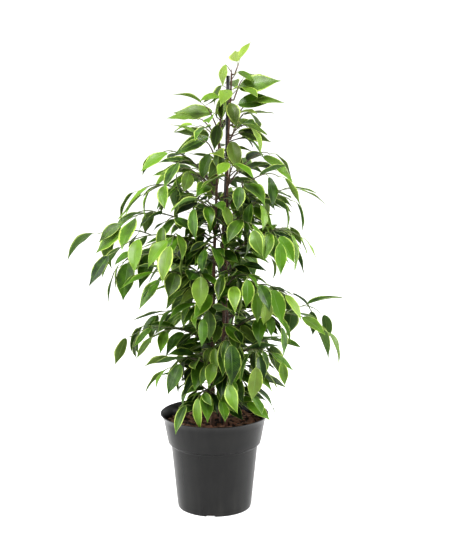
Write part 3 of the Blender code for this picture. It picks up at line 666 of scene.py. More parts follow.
for tie_number, tie_z in enumerate(TIE_HEIGHTS, 1):
    rounds = [(at_height([STAKE_FOOT, STAKE_TOP], tie_z), STAKE_RADIUS)]
    rounds += [(at_height(line, tie_z), stem_radius(tie_z, line[-1].z)) for line in stem_lines.values()]
    loop = []
    for i in range(TIE_POINTS):
        angle = 2 * math.pi * i / TIE_POINTS
        outward = Vector((math.cos(angle), math.sin(angle), TIE_SLANT * math.sin(angle)))
        centre, radius = max(rounds, key=lambda item: item[0].dot(outward) + item[1])
        loop.append(centre + outward * (radius + TIE_SPARE + TIE_RADIUS))
    knot = min(loop, key=lambda point: point.y)
    twist = [knot + Vector((TWIST_STEP * math.cos(i * TWIST_TURN), -TWIST_START - TWIST_STEP * i,
                            TWIST_STEP * math.sin(i * TWIST_TURN))) for i in range(TWIST_POINTS)]
    tie_lines = [(loop, [TIE_RADIUS] * TIE_POINTS, True),
                 (twist, [TIE_RADIUS * TWIST_THIN] * TWIST_POINTS, False)]
    tie = swept(f"soft_tie_{tie_number}", tie_lines, 2, black)
    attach(tie, "root")
    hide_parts(f"tie_{tie_number}")

# Leafy side branches: green twigs that arch out of the stems, fork and droop, with alternate egg-shaped
# leaves that hang from short stalks. Each branch grows by the rule that gave its solid, so these leaves
# hang where the solid's do.
UP = Vector((0, 0, 1))
TWIG_RADIUS = 0.0023
TWIG_TIP_RADIUS = 0.0016
TWIG_PIECE = 0.040
COLLAR = 0.004
ROOT_GAP = 0.00045
ARCH_SWAY = 0.16
ARCH_SWAY_END = 1.6
ARCH_START = (0.28, 0.26, 0.30)
ARCH_END = (0.74, 0.20)
TWIG_TRIES = 24
TURN_STEP = 0.10
FORK_PLACES = (0.36, 0.62)
FORK_REACH = (0.09, 0.12)
FORK_AHEAD = (0.6, 0.9)
FORK_ASIDE = (0.6, 1.0)
FORK_SIZE = (0.36, 0.48)
FORK_START = (0.35, 0.12)
FORK_END = 0.75
FORK_LIFT = (-0.05, 0.12)
FORK_DROOP = (0.05, 0.30)
FORK_PIECES = 2
LEAF_SPACING = 0.0290
FIRST_LEAF = (0.020, 0.016)
LEAF_LENGTH = (0.064, 0.084)
LEAF_HALF_WIDTH = 0.240
LEAF_WIDTHS = (0.82, 1.10)
LEAF_BEND = (0.20, 0.75)
LEAF_FOLD = (0.12, 0.42)
LEAF_WAVE = (0.03, 0.09)
WAVE_TURNS = (7.0, 1.4)
LEAF_DROOP = (2, 42)
FACING_DROOP = 26
LEAF_ROLL = 38
LEAF_SIZE = (0.76, 1.06)
LEAF_AHEAD = (0.6, 1.3)
LEAF_ASIDE = (0.3, 0.8)
LEAF_LIFT = (-0.2, 0.4)
TIP_LEAF_DROOP = (5, 45)
TIP_LEAF_SIZE = (0.70, 0.98)
TIP_LEAF_ASIDE = (-0.3, 0.3)
TIP_LEAF_LIFT = (-0.1, 0.3)
SPREAD_DROOP = 20
SPREAD_TIP_DROOP = 40
SPREAD_STALK = 0.9
SPREAD_SHRINK = 0.25
BODY_END = 0.99
BODY_POWER = 0.80
BODY_SHARPNESS = (0.72, 1.10)
TIP_HALF = 0.060
TIP_TAPER = 0.20
STALK_LENGTH = 0.012
STALK_SHORTEST = 0.75
STALK_HALF = 0.0007
LEAF_TRIES = 26
MATCH = 0.0001

Leaf = namedtuple("Leaf", "root stalk foot heading side normal length half bend fold wave phase")


def bezier(p0, p1, p2, p3, t):
    """The point at a share of the way along an arch."""
    return p0 * (1 - t) ** 3 + 3 * p1 * t * (1 - t) ** 2 + 3 * p2 * t * t * (1 - t) + p3 * t ** 3


def twig_arch(number, attempt):
    """The four controls of a side branch's arch, after the point where it leaves the bark."""
    stem, height, heading, reach, tip_z = SPRAYS[number]
    draw = random.Random(f"twig {number}")
    turn = (attempt + 1) // 2 * TURN_STEP * (-1) ** attempt
    angle = math.radians(heading) + turn
    out = Vector((math.cos(angle), math.sin(angle), 0))
    across = UP.cross(out) * draw.uniform(-ARCH_SWAY, ARCH_SWAY) * reach
    axis = at_height(stem_lines[stem], height)
    bark_point, *_ = stem_trees[stem].ray_cast(axis + out * STEM_FOOT_RADIUS * 2, -out)
    root = bark_point + out * ROOT_GAP
    collar = root + out * COLLAR
    rise = tip_z - height
    p1 = collar + out * ARCH_START[0] * reach + UP * (ARCH_START[1] * reach + ARCH_START[2] * rise)
    p2 = collar + out * ARCH_END[0] * reach + UP * (rise + ARCH_END[1] * reach) + across
    p3 = collar + out * (reach - COLLAR) + UP * rise + across * ARCH_SWAY_END
    return root, (collar, p1, p2, p3)


def length_of(line):
    """The length of a line of points."""
    return sum((b - a).length for a, b in zip(line, line[1:]))


def along_line(line, distance):
    """The point at a distance along a line, and the line's direction there."""
    for a, b in zip(line, line[1:]):
        piece = (b - a).length
        if distance <= piece:
            return a.lerp(b, distance / piece), (b - a).normalized()
        distance -= piece
    return line[-1].copy(), (line[-1] - line[-2]).normalized()


def fork_arch(number, main, place, hand, attempt):
    """The four controls of a shorter twig that forks from the main one and droops."""
    draw = random.Random(f"fork {number} {place} {attempt}")
    start, direction = along_line(main, length_of(main) * place)
    across = UP.cross(direction).normalized() * hand
    out = (direction * draw.uniform(*FORK_AHEAD) + across * draw.uniform(*FORK_ASIDE)).normalized()
    size = length_of(main) * draw.uniform(*FORK_SIZE)
    p1 = start + out * size * FORK_START[0] + UP * size * FORK_START[1]
    p2 = start + out * size * FORK_END + UP * size * draw.uniform(*FORK_LIFT)
    p3 = start + out * size - UP * size * draw.uniform(*FORK_DROOP)
    return start, p1, p2, p3


def make_leaf(root, stalk, size, droop, roll, draw):
    """A leaf that hangs from its stalk: stalk is the direction in which the stalk leaves the twig."""
    level = stalk.cross(UP).normalized()
    heading = Matrix.Rotation(-droop, 3, level) @ stalk
    normal = Matrix.Rotation(roll, 3, heading) @ level.cross(heading)
    side = heading.cross(normal)
    length = draw.uniform(*LEAF_LENGTH) * size
    foot = root + stalk * STALK_LENGTH * (STALK_SHORTEST + (1 - STALK_SHORTEST) * size)
    half = length * LEAF_HALF_WIDTH * draw.uniform(*LEAF_WIDTHS)
    return Leaf(root, stalk, foot, heading, side, normal, length, half, draw.uniform(*LEAF_BEND),
                draw.uniform(*LEAF_FOLD), draw.uniform(*LEAF_WAVE), draw.uniform(0, 2 * math.pi))


def leaf_outline(along):
    """Half width of the blade as a share of the widest: egg-shaped, with a drawn-out drip tip."""
    power = BODY_SHARPNESS[0] + BODY_SHARPNESS[1] * along
    body = math.sin(math.pi * (along / BODY_END) ** BODY_POWER) ** power if along < BODY_END else 0
    tip = TIP_HALF * min(1, (1 - along) / TIP_TAPER) if along > BODY_END / 2 else 0
    return max(body, tip)


def leaf_point(leaf, along, across, lift):
    """A point of the blade: along 0 to 1 from foot to tip, across -1 to 1, lift off its middle surface."""
    angle = leaf.bend * along
    forward = leaf.length * math.sin(angle) / leaf.bend
    down = leaf.length * (1 - math.cos(angle)) / leaf.bend
    spine = leaf.foot + leaf.heading * forward - leaf.normal * down
    up = leaf.normal * math.cos(angle) + leaf.heading * math.sin(angle)
    half = leaf.half * leaf_outline(along)
    ripple = leaf.wave * leaf.half * math.sin(WAVE_TURNS[0] * along + WAVE_TURNS[1] * across + leaf.phase)
    flat = leaf.side * across * half * math.cos(leaf.fold)
    return spine + flat + up * (abs(across) * half * math.sin(leaf.fold) + across * across * ripple + lift)


def leaf_places(line, first):
    """Distances along a twig at which its leaves sit, the last one at its tip."""
    total = length_of(line)
    count = max(1, round((total - first) / LEAF_SPACING))
    return [first + (total - first) * i / count for i in range(count)] + [total - STALK_HALF]


def try_leaf(number, branch, index, line, distance, last, attempt):
    """One way to hang a leaf at its place; each attempt turns it a little more."""
    draw = random.Random(f"leaf {number} {branch} {index} {attempt}")
    root, direction = along_line(line, distance)
    across = direction.cross(UP).normalized() * (1 if (index + number) % 2 else -1)
    spread = min(1, attempt / LEAF_TRIES)
    if last:
        stalk = direction + across * draw.uniform(*TIP_LEAF_ASIDE) + UP * draw.uniform(*TIP_LEAF_LIFT)
        least, most = TIP_LEAF_DROOP
        droop = draw.uniform(least, most + SPREAD_TIP_DROOP * spread)
        size = draw.uniform(*TIP_LEAF_SIZE)
    else:
        stalk = across * draw.uniform(*LEAF_ASIDE) + direction * draw.uniform(*LEAF_AHEAD)
        stalk += UP * draw.uniform(*LEAF_LIFT)
        least, most = LEAF_DROOP
        droop = draw.uniform(least - SPREAD_DROOP * spread, most + SPREAD_DROOP * spread)
        size = draw.uniform(*LEAF_SIZE)
    stalk += Vector([draw.uniform(-1, 1) for _ in range(3)]) * SPREAD_STALK * spread
    stalk.normalize()
    droop = math.radians(droop + FACING_DROOP * abs(stalk.y))
    roll = math.radians(draw.uniform(-LEAF_ROLL, LEAF_ROLL)) * (1 + spread)
    return make_leaf(root, stalk, size * (1 - SPREAD_SHRINK * spread), droop, roll, draw)


def corners_of(mesh):
    """A search tree of a solid's corners."""
    tree = KDTree(len(mesh.vertices))
    for i, vertex in enumerate(mesh.vertices):
        tree.insert(vertex.co, i)
    tree.balance()
    return tree


def ends_here(corners, point):
    """Whether a twig of the solid ends at the point, with its corners a tip's radius round it."""
    near = corners.find_range(point, TWIG_TIP_RADIUS + MATCH)
    return sum(abs(distance - TWIG_TIP_RADIUS) < MATCH for _, _, distance in near) >= 2


def grown_branch(number, corners):
    """The twigs and leaves of one solid: of all the ways to grow, those whose ends the solid has.

    Each twig is a line and its arch. Each leaf comes with whether it is its twig's last, and the twig's
    place in the list.
    """
    for attempt in range(TWIG_TRIES):
        root, arch = twig_arch(number, attempt)
        if ends_here(corners, arch[3]):
            break
    else:
        return [], []
    count = max(2, round((arch[3] - arch[0]).length / TWIG_PIECE))
    main = [root] + [bezier(*arch, i / count) for i in range(count + 1)]
    twigs = [(main, arch)]
    for place, hand, least in zip(FORK_PLACES, (1, -1) if number % 2 else (-1, 1), FORK_REACH):
        if SPRAYS[number][3] < least:
            continue
        for attempt in range(TWIG_TRIES):
            arch = fork_arch(number, main, place, hand, attempt)
            if ends_here(corners, arch[3]):
                twigs.append(([bezier(*arch, i / FORK_PIECES) for i in range(FORK_PIECES + 1)], arch))
                break
    leaves = []
    for branch, (line, _) in enumerate(twigs):
        places = leaf_places(line, FIRST_LEAF[min(branch, 1)])
        for index, distance in enumerate(places):
            last = index == len(places) - 1
            for attempt in range(LEAF_TRIES):
                leaf = try_leaf(number, branch, index, line, distance, last, attempt)
                if corners.find(leaf_point(leaf, 1, 0, 0))[2] < MATCH:
                    leaves.append((leaf, last, branch))
                    break
    return twigs, leaves


def surface_of(name):
    """The corners and faces of one of the solids."""
    mesh = nodes[name].data
    return [vertex.co for vertex in mesh.vertices], [tuple(face.vertices) for face in mesh.polygons]


stem_trees = {stem_name: BVHTree.FromPolygons(*surface_of(f"stem_{stem_name}")) for stem_name in STEMS}
branches = []
for number in range(len(SPRAYS)):
    branches.append(grown_branch(number, corners_of(nodes[f"spray_{number + 1:02d}"].data)))

# More leaves of the crown: a few large ones at its narrow top, smaller ones between the others on each
# twig, and some on short shoots all the way up the stems. Each blade is placed clear of the other blades,
# the twigs and the stems, and of the pot and the soil.
FILL_TRIES = 14
FILL_SIZE = (0.60, 1.05)
FILL_LEAST = 0.006
FILL_AWAY = 0.095
FILL_TOP = 0.600
SHOOT_ARCH = ((0.3, 0.002), (0.7, 0.003))
SHOOT_PARTS = 4
SHOOT_START = 0.196
SHOOT_STEP = (0.010, 0.016)
SHOOT_THINNING = 3
SHOOT_REACH = (0.016, 0.050)
SHOOT_RISE = (0.1, 0.7)
SHOOT_TURN = 2.4
SHOOT_TURN_SWAY = 0.4
SHOOT_END = 0.03
SHOOT_LEAVES = (0.99, 0.72, 0.45)
SKIRT_TOP = 0.300
SKIRT_STEP = 0.7
SKIRT_REACH = 1.6
TOP_TRIES = 40
TOP_SPREAD = 1.5
TOP_TWIG = 0.008
TOP_TWIG_SHARES = (0, 0.33, 0.67, 1)
TOP_BEND = 0.30
TOP_LEAF_WIDTH = 1.08
TOP_LEAVES = [
    ("back", 0.853, 218, 45, 118, -10, 0.044), ("back", 0.808, 2, 45, 26, 52, 0.086),
    ("back", 0.778, 348, 40, 28, 46, 0.078), ("right", 0.782, 318, 20, 92, 10, 0.056),
    ("back", 0.800, 224, 25, 100, -15, 0.050), ("back", 0.818, 186, 30, 88, -30, 0.042),
    ("left", 0.762, 181, 35, 46, -42, 0.082), ("left", 0.724, 186, 20, 44, -42, 0.076),
    ("back", 0.730, 354, 30, 44, 36, 0.072), ("right", 0.718, 288, 20, 74, 12, 0.062),
    ("left", 0.748, 262, 20, 84, -10, 0.052), ("right", 0.752, 8, 30, 50, 30, 0.066),
    ("left", 0.700, 214, 5, 70, -30, 0.056), ("back", 0.838, 340, 50, 70, 30, 0.040),
]
TEST_ROWS = (0, 0.15, 0.32, 0.5, 0.68, 0.85, 1)
RIM_ROOM = 0.003
SOIL_ROOM = 0.002
BOX_ROOM = 0.001
SHEET_HALF = 0.001


def blade_sheet(leaf):
    """The blade's middle surface as a few faces, for testing what it would touch."""
    points = [leaf_point(leaf, along, across, 0) for along in TEST_ROWS for across in (-1, 0, 1)]
    faces = []
    for row in range(len(TEST_ROWS) - 1):
        for i in (0, 1):
            a = row * 3 + i
            faces.append((a, a + 1, a + 4, a + 3))
    return points, faces


def twig_sheet(line):
    """An upright strip along a twig, for the same tests."""
    points = [point + UP * lift for lift in (-SHEET_HALF, SHEET_HALF) for point in line]
    count = len(line)
    return points, [(i, i + 1, count + i + 1, count + i) for i in range(count - 1)]


def with_box(points, faces):
    """A surface as its lowest and highest corner and its search tree."""
    low = [min(point[k] for point in points) for k in range(3)]
    high = [max(point[k] for point in points) for k in range(3)]
    return low, high, BVHTree.FromPolygons(points, faces)


def inside_limits(points):
    """Whether a blade stays within the part's own box and clear of the pot and the soil."""
    for x, y, z in points:
        for value, low, high in zip((x, y, z), *cad_box):
            if not low + BOX_ROOM < value < high - BOX_ROOM:
                return False
        away = math.hypot(x, y)
        if away < soil_edge - RIM_ROOM and z < soil_height(x, y) + SOIL_ROOM:
            return False
        if soil_edge - RIM_ROOM <= away < LIP_RADIUS + RIM_ROOM and z < POT_HEIGHT + RIM_ROOM:
            return False
    return True


def crosses(item, others):
    """Whether a surface meets any other, by their boxes first."""
    low, high, tree = item
    for other_low, other_high, other in others:
        if all(low[k] < other_high[k] and high[k] > other_low[k] for k in range(3)) and tree.overlap(other):
            return True
    return False


def fits(leaf):
    """Whether there is room for a leaf, which then takes it."""
    points, faces = blade_sheet(leaf)
    item = with_box(points, faces)
    if not inside_limits(points) or crosses(item, standing):
        return False
    standing.append(item)
    return True


def fill_leaf(number, branch, label, index, line, distance, last):
    """Tries to hang one more leaf on a twig of a branch."""
    for attempt in range(FILL_TRIES):
        draw = random.Random(f"fill {number} {label} {index} {attempt}")
        leaf = try_leaf(number, label, index, line, distance, last, attempt)
        share = draw.uniform(*FILL_SIZE)
        leaf = leaf._replace(length=leaf.length * share, half=leaf.half * share)
        if fits(leaf):
            branches[number][1].append((leaf, last, branch))
            return True
    return False


def branch_near(stem_name, height):
    """The number of the side branch that leaves a stem nearest to a height."""
    own = [i for i, spray in enumerate(SPRAYS) if spray[0] == stem_name]
    return min(own, key=lambda i: abs(SPRAYS[i][1] - height))


def grow_shoot(stem_name, height, turn, reach, rise):
    """A short twig out of a stem, which stays if any of its leaves finds room."""
    number = branch_near(stem_name, height)
    start = at_height(stem_lines[stem_name], height)
    end = start + Vector((math.cos(turn), math.sin(turn), 0)) * reach + UP * rise
    arch = (start, *[start.lerp(end, share) + UP * lift for share, lift in SHOOT_ARCH], end)
    shoot = [bezier(*arch, i / SHOOT_PARTS) for i in range(SHOOT_PARTS + 1)]
    twigs = branches[number][0]
    label = f"shoot {stem_name} {round(height * 1000)}"
    placed = [fill_leaf(number, len(twigs), label, index, shoot, length_of(shoot) * place, index == 0)
              for index, place in enumerate(SHOOT_LEAVES)]
    if any(placed):
        twigs.append((shoot, arch))
        standing.append(with_box(*twig_sheet(shoot)))


def top_leaf(stem_name, height, heading, lift, droop, roll, length):
    """One leaf of the narrow top, close to a stem, turned aside step by step until it finds room."""
    number = branch_near(stem_name, height)
    start = at_height(stem_lines[stem_name], height)
    draw = random.Random(f"top {stem_name} {height}")
    for attempt in range(TOP_TRIES):
        spread = TOP_SPREAD * attempt
        angle = math.radians(heading + draw.uniform(-spread, spread))
        rise = math.radians(lift + draw.uniform(-spread, spread))
        out = Vector((math.cos(angle) * math.cos(rise), math.sin(angle) * math.cos(rise), math.sin(rise)))
        arch = [start + out * TOP_TWIG * share for share in TOP_TWIG_SHARES]
        leaf = make_leaf(arch[3], out, 1, math.radians(droop), math.radians(roll), draw)
        leaf = leaf._replace(length=length, half=length * LEAF_HALF_WIDTH * TOP_LEAF_WIDTH, bend=TOP_BEND)
        if fits(leaf):
            twigs, leaves = branches[number]
            leaves.append((leaf, False, len(twigs)))
            twigs.append(([bezier(*arch, i / SHOOT_PARTS) for i in range(SHOOT_PARTS + 1)], arch))
            return


firm_names = ("stake", "stem_left", "stem_right", "stem_back", "tie_1", "tie_2", "tie_3")
firm = [with_box(*surface_of(name)) for name in firm_names]
standing = list(firm)
for twigs, leaves in branches:
    standing += [with_box(*twig_sheet(line)) for line, _ in twigs]
    standing += [with_box(*blade_sheet(leaf)) for leaf, *_ in leaves]
for placing in TOP_LEAVES:
    top_leaf(*placing)
for number, (twigs, leaves) in enumerate(branches):
    for branch, (line, _) in enumerate(list(twigs)):
        places = leaf_places(line, FIRST_LEAF[min(branch, 1)])
        between = [(a + b) / 2 for a, b in zip([FILL_LEAST] + places, places)]
        for index, distance in enumerate(between):
            place, _ = along_line(line, distance)
            if math.hypot(place.x - STAKE_TOP.x, place.y) < FILL_AWAY and place.z < FILL_TOP:
                fill_leaf(number, branch, f"between {branch}", index + 1, line, distance, False)
for stem_name, line in stem_lines.items():
    draw = random.Random(f"shoots {stem_name}")
    height = SHOOT_START
    turn = draw.uniform(0, FULL_TURN)
    while height < line[-1].z - SHOOT_END:
        low = height < SKIRT_TOP
        reach = draw.uniform(*SHOOT_REACH) * (SKIRT_REACH if low else 1)
        rise = reach * draw.uniform(*SHOOT_RISE)
        grow_shoot(stem_name, height, turn, reach, rise)
        spacing = SKIRT_STEP if low else 1 if height < FILL_TOP else SHOOT_THINNING
        height += draw.uniform(*SHOOT_STEP) * spacing
        turn += SHOOT_TURN + draw.uniform(-SHOOT_TURN_SWAY, SHOOT_TURN_SWAY)

# Leaves: leathery and glossy above, dull and paler below, with a sunk midrib, fine close side veins, a wavy
# edge and a thin yellow-green margin. Inner and low leaves are painted deeper green: painted shade of the
# inner and lower crown, on top of the older low leaves' own darker colour. Some at the twigs' ends and at
# the top are lime.
LEAF_ROWS = (0, 0.07, 0.20, 0.36, 0.53, 0.69, 0.81, 0.90, 1.0)
LEAF_COLUMNS = (-1, -0.52, 0, 0.52, 1)
BLADE = 0.00042
EDGE_WAVE = 0.13
EDGE_TURNS = 15
EDGE_PHASE = 3
EDGE_SKEW = 1.3
SICKLE = 0.10
SICKLE_PHASE = 5
TIP_CURL = 0.10
CURL_PHASE = 7
FORM_AMOUNTS = (1, 0.5, 0)
FORM_NEAR = 0.001
YOUTH_COLOUR = (0.230, 0.305, 0.045)
YOUNG_FROM = 0.60
# Low leaves, up to these heights, are old and get painted shade of the lower crown; leaves within the next
# reach of the middle get painted shade of the inner crown.
OLD_AND_SHADED_LOW = (0.20, 0.32)
INNER_SHADE_REACH = 0.11
TIP_YOUTH = (0.10, 0.35)
TIP_YOUTH_CHANCE = 0.40
OTHER_YOUTH = (-0.02, 0.10)
TOP_YOUTH = 1.5
# How light leaves are painted: least inside the crown and low down, which is painted shade, with a random
# spread.
LIGHT_INSIDE = 0.10
LIGHT_OUTSIDE = 0.36
LIGHT_BELOW = 0.35
LIGHT_SPREAD = 0.27
STALK_INSIDE = 0.05
STALK_MIDDLE = 0.55
STALK_LIFT = 0.0006
STALK_SHARES = (1.15, 0.85, 0.95, 0.45)
LONG_TWIG = 0.06
LONG_TWIG_STEPS = 16
SHORT_TWIG_STEPS = 6
TWIG_PARTS = 4
TWIG_SUNK = 0.6
TWIG_SLIMMER = 0.80
TWIG_END = 0.50


def leaf_material(name, above):
    """The upper or the under face of a leaf."""
    made, tree, shader = new_material(name, 0.36 if above else 0.60)
    shader.inputs["Specular IOR Level"].default_value = 0.22
    place = tree.nodes.new("ShaderNodeTexCoord").outputs
    tone = add_node(tree, "ShaderNodeAttribute", {}, attribute_name="leaf_tone").outputs["Color"]
    tones = add_node(tree, "ShaderNodeSeparateColor", {"Color": tone}).outputs
    shares = add_node(tree, "ShaderNodeSeparateXYZ", {"Vector": place["UV"]}).outputs
    side = work_out(tree, "ABSOLUTE", work_out(tree, "MULTIPLY_ADD", shares["X"], 2.0, -1.0))
    cloud = noise(tree, place["Object"], 55, 4, 0.6)
    fine = noise(tree, place["Object"], 220, 3)
    slant = work_out(tree, "MULTIPLY_ADD", side, -0.13, shares["Y"])
    veins = work_out(tree, "SINE", work_out(tree, "MULTIPLY", slant, 150.0))
    vein_lines = ramp(tree, work_out(tree, "MULTIPLY_ADD", veins, 0.5, 0.5), [(0.80, 0.0), (1.0, 1.0)])
    rib = ramp(tree, side, [(0.035, 1.0), (0.085, 0.0)])
    wander = work_out(tree, "MULTIPLY_ADD", fine, 0.32, work_out(tree, "MULTIPLY", tones["Blue"], -0.16))
    margin = ramp(tree, work_out(tree, "ADD", side, wander), [(0.89, 0.0), (1.0, 1.0)])
    if above:
        deep, middle = (0.003, 0.015, 0.001), (0.056, 0.134, 0.005)
        edge_colour, rib_colour = (0.350, 0.440, 0.095), (0.085, 0.165, 0.025)
    else:
        deep, middle = (0.024, 0.060, 0.012), (0.066, 0.128, 0.028)
        edge_colour, rib_colour = (0.360, 0.430, 0.140), (0.170, 0.240, 0.075)
    # The leaf's light share, which holds the painted shade of the inner and lower crown, and a cloud of
    # mottling choose between deep and middle green.
    mottle = work_out(tree, "MULTIPLY", cloud, 1.4)
    light = work_out(tree, "MULTIPLY", work_out(tree, "ADD", tones["Red"], mottle), 0.6)
    base = blend_colours(tree, ramp(tree, light, [(0.44, 0.0), (0.86, 1.0)]), deep, middle)
    base = blend_colours(tree, tones["Green"], base, YOUTH_COLOUR)
    base = blend_colours(tree, work_out(tree, "MULTIPLY", vein_lines, 0.20), base, rib_colour)
    base = blend_colours(tree, work_out(tree, "MULTIPLY", margin, 0.68), base, edge_colour)
    base = blend_colours(tree, work_out(tree, "MULTIPLY", rib, 0.42), base, rib_colour)
    tree.links.new(base, shader.inputs["Base Color"])
    height = work_out(tree, "SUBTRACT", work_out(tree, "MULTIPLY", cloud, 1.6),
                      work_out(tree, "ADD", rib, work_out(tree, "MULTIPLY", vein_lines, 0.25)))
    roughen(tree, shader, height, 0.45 if above else 0.30, 0.0009)
    glow_colour = blend_colours(tree, 0.5, base, (0.36, 0.60, 0.06))
    glow = add_node(tree, "ShaderNodeBsdfTranslucent", {"Color": glow_colour}).outputs["BSDF"]
    mixed = add_node(tree, "ShaderNodeMixShader", {0: 0.14, 1: shader.outputs["BSDF"], 2: glow})
    tree.links.new(mixed.outputs["Shader"], tree.nodes["Material Output"].inputs["Surface"])
    return made


leaf_top = leaf_material("leaf_upper_face", True)
leaf_under = leaf_material("leaf_under_face", False)

stalk_green = mottled("leaf_stalk", 0.50, 60, 900, (0.060, 0.090, 0.018), (0.190, 0.230, 0.060))

twig_bark, twig_tree, twig_shader = new_material("twig_bark", 0.62)
twig_place = object_place(twig_tree)
twig_out = add_node(twig_tree, "ShaderNodeMapping", {"Vector": twig_place, "Location": (-0.018, 0, 0),
                                                     "Scale": (1, 1, 0)}).outputs["Vector"]
twig_far = add_node(twig_tree, "ShaderNodeVectorMath", {0: twig_out}, operation="LENGTH").outputs["Value"]
twig_grain = noise(twig_tree, twig_place, 160, 4, 0.6)
twig_brown = ramp(twig_tree, twig_grain, [(0.3, (0.026, 0.015, 0.010)), (0.8, (0.110, 0.066, 0.038))])
twig_green = ramp(twig_tree, twig_grain, [(0.3, (0.024, 0.036, 0.010)), (0.8, (0.090, 0.115, 0.032))])
twig_share = ramp(twig_tree, work_out(twig_tree, "MULTIPLY", twig_far, 6.0), [(0.12, 0.0), (0.75, 1.0)])
twig_tree.links.new(blend_colours(twig_tree, twig_share, twig_brown, twig_green),
                    twig_shader.inputs["Base Color"])
roughen(twig_tree, twig_shader, twig_grain, 0.35, 0.0005)

bpy.ops.object.select_all(action="DESELECT")
bpy.ops.mesh.primitive_grid_add(x_subdivisions=len(LEAF_COLUMNS) - 1,
                                y_subdivisions=len(LEAF_ROWS) - 1, size=2)
leaf_form = bpy.context.object
bpy.ops.object.mode_set(mode="EDIT")
bpy.ops.mesh.select_mode(type="VERT")
for end in (-1, 1):
    bpy.ops.mesh.select_all(action="DESELECT")
    bpy.ops.object.mode_set(mode="OBJECT")
    for vertex in leaf_form.data.vertices:
        vertex.select = abs(vertex.co.y - end) < FORM_NEAR
    bpy.ops.object.mode_set(mode="EDIT")
    bpy.ops.mesh.merge(type="CENTER")
bpy.ops.object.mode_set(mode="OBJECT")
leaf_form.data.materials.append(leaf_top)
leaf_form.data.materials.append(leaf_under)
leaf_form_places = []
for vertex in leaf_form.data.vertices:
    row = round((vertex.co.y + 1) / 2 * (len(LEAF_ROWS) - 1))
    column = round((vertex.co.x + 1) / 2 * (len(LEAF_COLUMNS) - 1))
    leaf_form_places.append((LEAF_ROWS[row], LEAF_COLUMNS[column]))
leaf_form_faces = [tuple(face.vertices) for face in leaf_form.data.polygons]
shaped = firm + [with_box(*twig_sheet(line)) for twigs, _ in branches for line, _ in twigs]


def shape_leaf(leaf, tone):
    """A copy of the leaf form with its own mesh, bent to one leaf as far as it stays clear of the rest."""
    copy = bpy.data.objects.new("leaf", leaf_form.data.copy())
    scene.collection.objects.link(copy)
    sickle = leaf.side * leaf.length * SICKLE * math.sin(leaf.phase * SICKLE_PHASE)
    curl = leaf.normal * leaf.length * TIP_CURL * math.sin(leaf.phase * CURL_PHASE)
    for amount in FORM_AMOUNTS:
        points = []
        for along, across in leaf_form_places:
            turn = EDGE_TURNS * along + leaf.phase * EDGE_PHASE + across * EDGE_SKEW
            edge = EDGE_WAVE * leaf.half * abs(across) * math.sin(turn)
            point = leaf_point(leaf, along, across, edge * leaf_outline(along) * amount)
            points.append(point + (sickle * along ** 2 * (1 - along / 2) + curl * along ** 4) * amount)
        item = with_box(points, leaf_form_faces)
        if inside_limits(points) and not crosses(item, shaped):
            break
    shaped.append(item)
    copy.data.vertices.foreach_set("co", [value for point in points for value in point])
    set_tone(copy.data, "leaf_tone", tone)
    return copy


def nearest(line, point):
    """The point of a line that is nearest to another point."""
    return min(line, key=lambda other: (other - point).length_squared)


def leaf_stalk(leaf, fine_twig):
    """The stalk's line, from inside the twig to a little way under the blade."""
    start = nearest(fine_twig, leaf.root)
    inside = leaf_point(leaf, STALK_INSIDE, 0, -BLADE)
    middle = start.lerp(leaf.foot, STALK_MIDDLE) + UP * STALK_LIFT
    return [start, middle, leaf.foot, inside], [STALK_HALF * share for share in STALK_SHARES], False


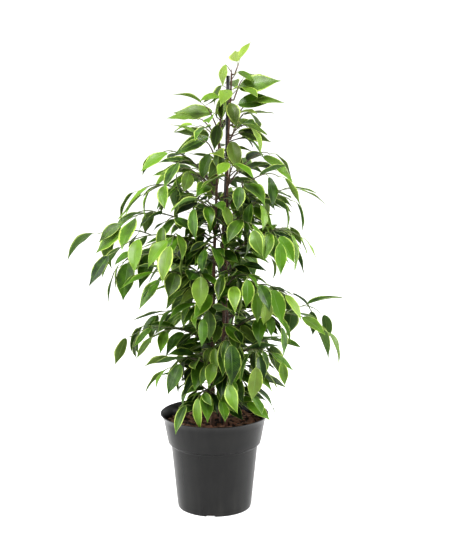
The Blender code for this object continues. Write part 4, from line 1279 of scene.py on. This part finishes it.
def leaf_tone(draw, leaf, last):
    """Three random shares for its material: how light (less inside and low: painted shade), how young, how
    narrow the margin.
    """
    if last and draw.random() < TIP_YOUTH_CHANCE:
        youth = draw.uniform(*TIP_YOUTH)
    else:
        youth = max(0, draw.gauss(*OTHER_YOUTH))
    youth += max(0, leaf.foot.z - YOUNG_FROM) * TOP_YOUTH * draw.random()
    # Leaves inside the crown and low down are drawn darker: painted shade of the inner and lower crown,
    # added to the older low leaves' deeper green.
    outer = min(1, math.hypot(leaf.foot.x - STAKE_TOP.x, leaf.foot.y) / INNER_SHADE_REACH)
    upper = min(1, max(0, (leaf.foot.z - OLD_AND_SHADED_LOW[0]) / (OLD_AND_SHADED_LOW[1] - OLD_AND_SHADED_LOW[0])))
    mean = LIGHT_INSIDE + LIGHT_OUTSIDE * outer * (LIGHT_BELOW + (1 - LIGHT_BELOW) * upper)
    light = min(1, max(0, draw.gauss(mean, LIGHT_SPREAD)))
    return light, min(1, youth * upper), draw.random(), 1


for number, (twigs, leaves) in enumerate(branches):
    draw = random.Random(f"looks {number}")
    twig_lines = []
    fine_twigs = []
    for branch, (line, arch) in enumerate(twigs):
        steps = LONG_TWIG_STEPS if length_of(line) > LONG_TWIG else SHORT_TWIG_STEPS
        fine = [bezier(*arch, i / steps) for i in range(steps + 1)]
        if branch == 0:
            axis = at_height(stem_lines[SPRAYS[number][0]], SPRAYS[number][1])
            fine = [axis.lerp(line[0], TWIG_SUNK), line[0]] + fine
        thick = (TWIG_RADIUS if branch == 0 else TWIG_TIP_RADIUS) * TWIG_SLIMMER
        thin = TWIG_TIP_RADIUS * TWIG_END
        radii = [thick + (thin - thick) * i / (len(fine) - 1) for i in range(len(fine))]
        twig_lines.append((fine, radii, False))
        fine_twigs.append([start.lerp(end, part / TWIG_PARTS) for start, end in zip(fine, fine[1:])
                           for part in range(TWIG_PARTS)])
    stalk_lines = [leaf_stalk(leaf, fine_twigs[branch]) for leaf, _, branch in leaves]
    pieces = [swept("twigs", twig_lines, 2, twig_bark), swept("stalks", stalk_lines, 1, stalk_green)]
    shapes = [shape_leaf(leaf, leaf_tone(draw, leaf, last)) for leaf, last, _ in leaves]
    blades = join_pieces(shapes, "blades")
    thickness = blades.modifiers.new("thickness", "SOLIDIFY")
    thickness.thickness = BLADE
    thickness.offset = 0
    thickness.material_offset = 1
    rounding = blades.modifiers.new("rounding", "SUBSURF")
    rounding.levels = 1
    rounding.render_levels = 1
    bpy.ops.object.modifier_apply(modifier="thickness")
    bpy.ops.object.modifier_apply(modifier="rounding")
    bpy.ops.object.shade_smooth()
    foliage = join_pieces([blades] + pieces, f"leafy_branch_{number + 1:02d}")
    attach(foliage, "root")
    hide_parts(f"spray_{number + 1:02d}")
bpy.data.objects.remove(leaf_form, do_unlink=True)
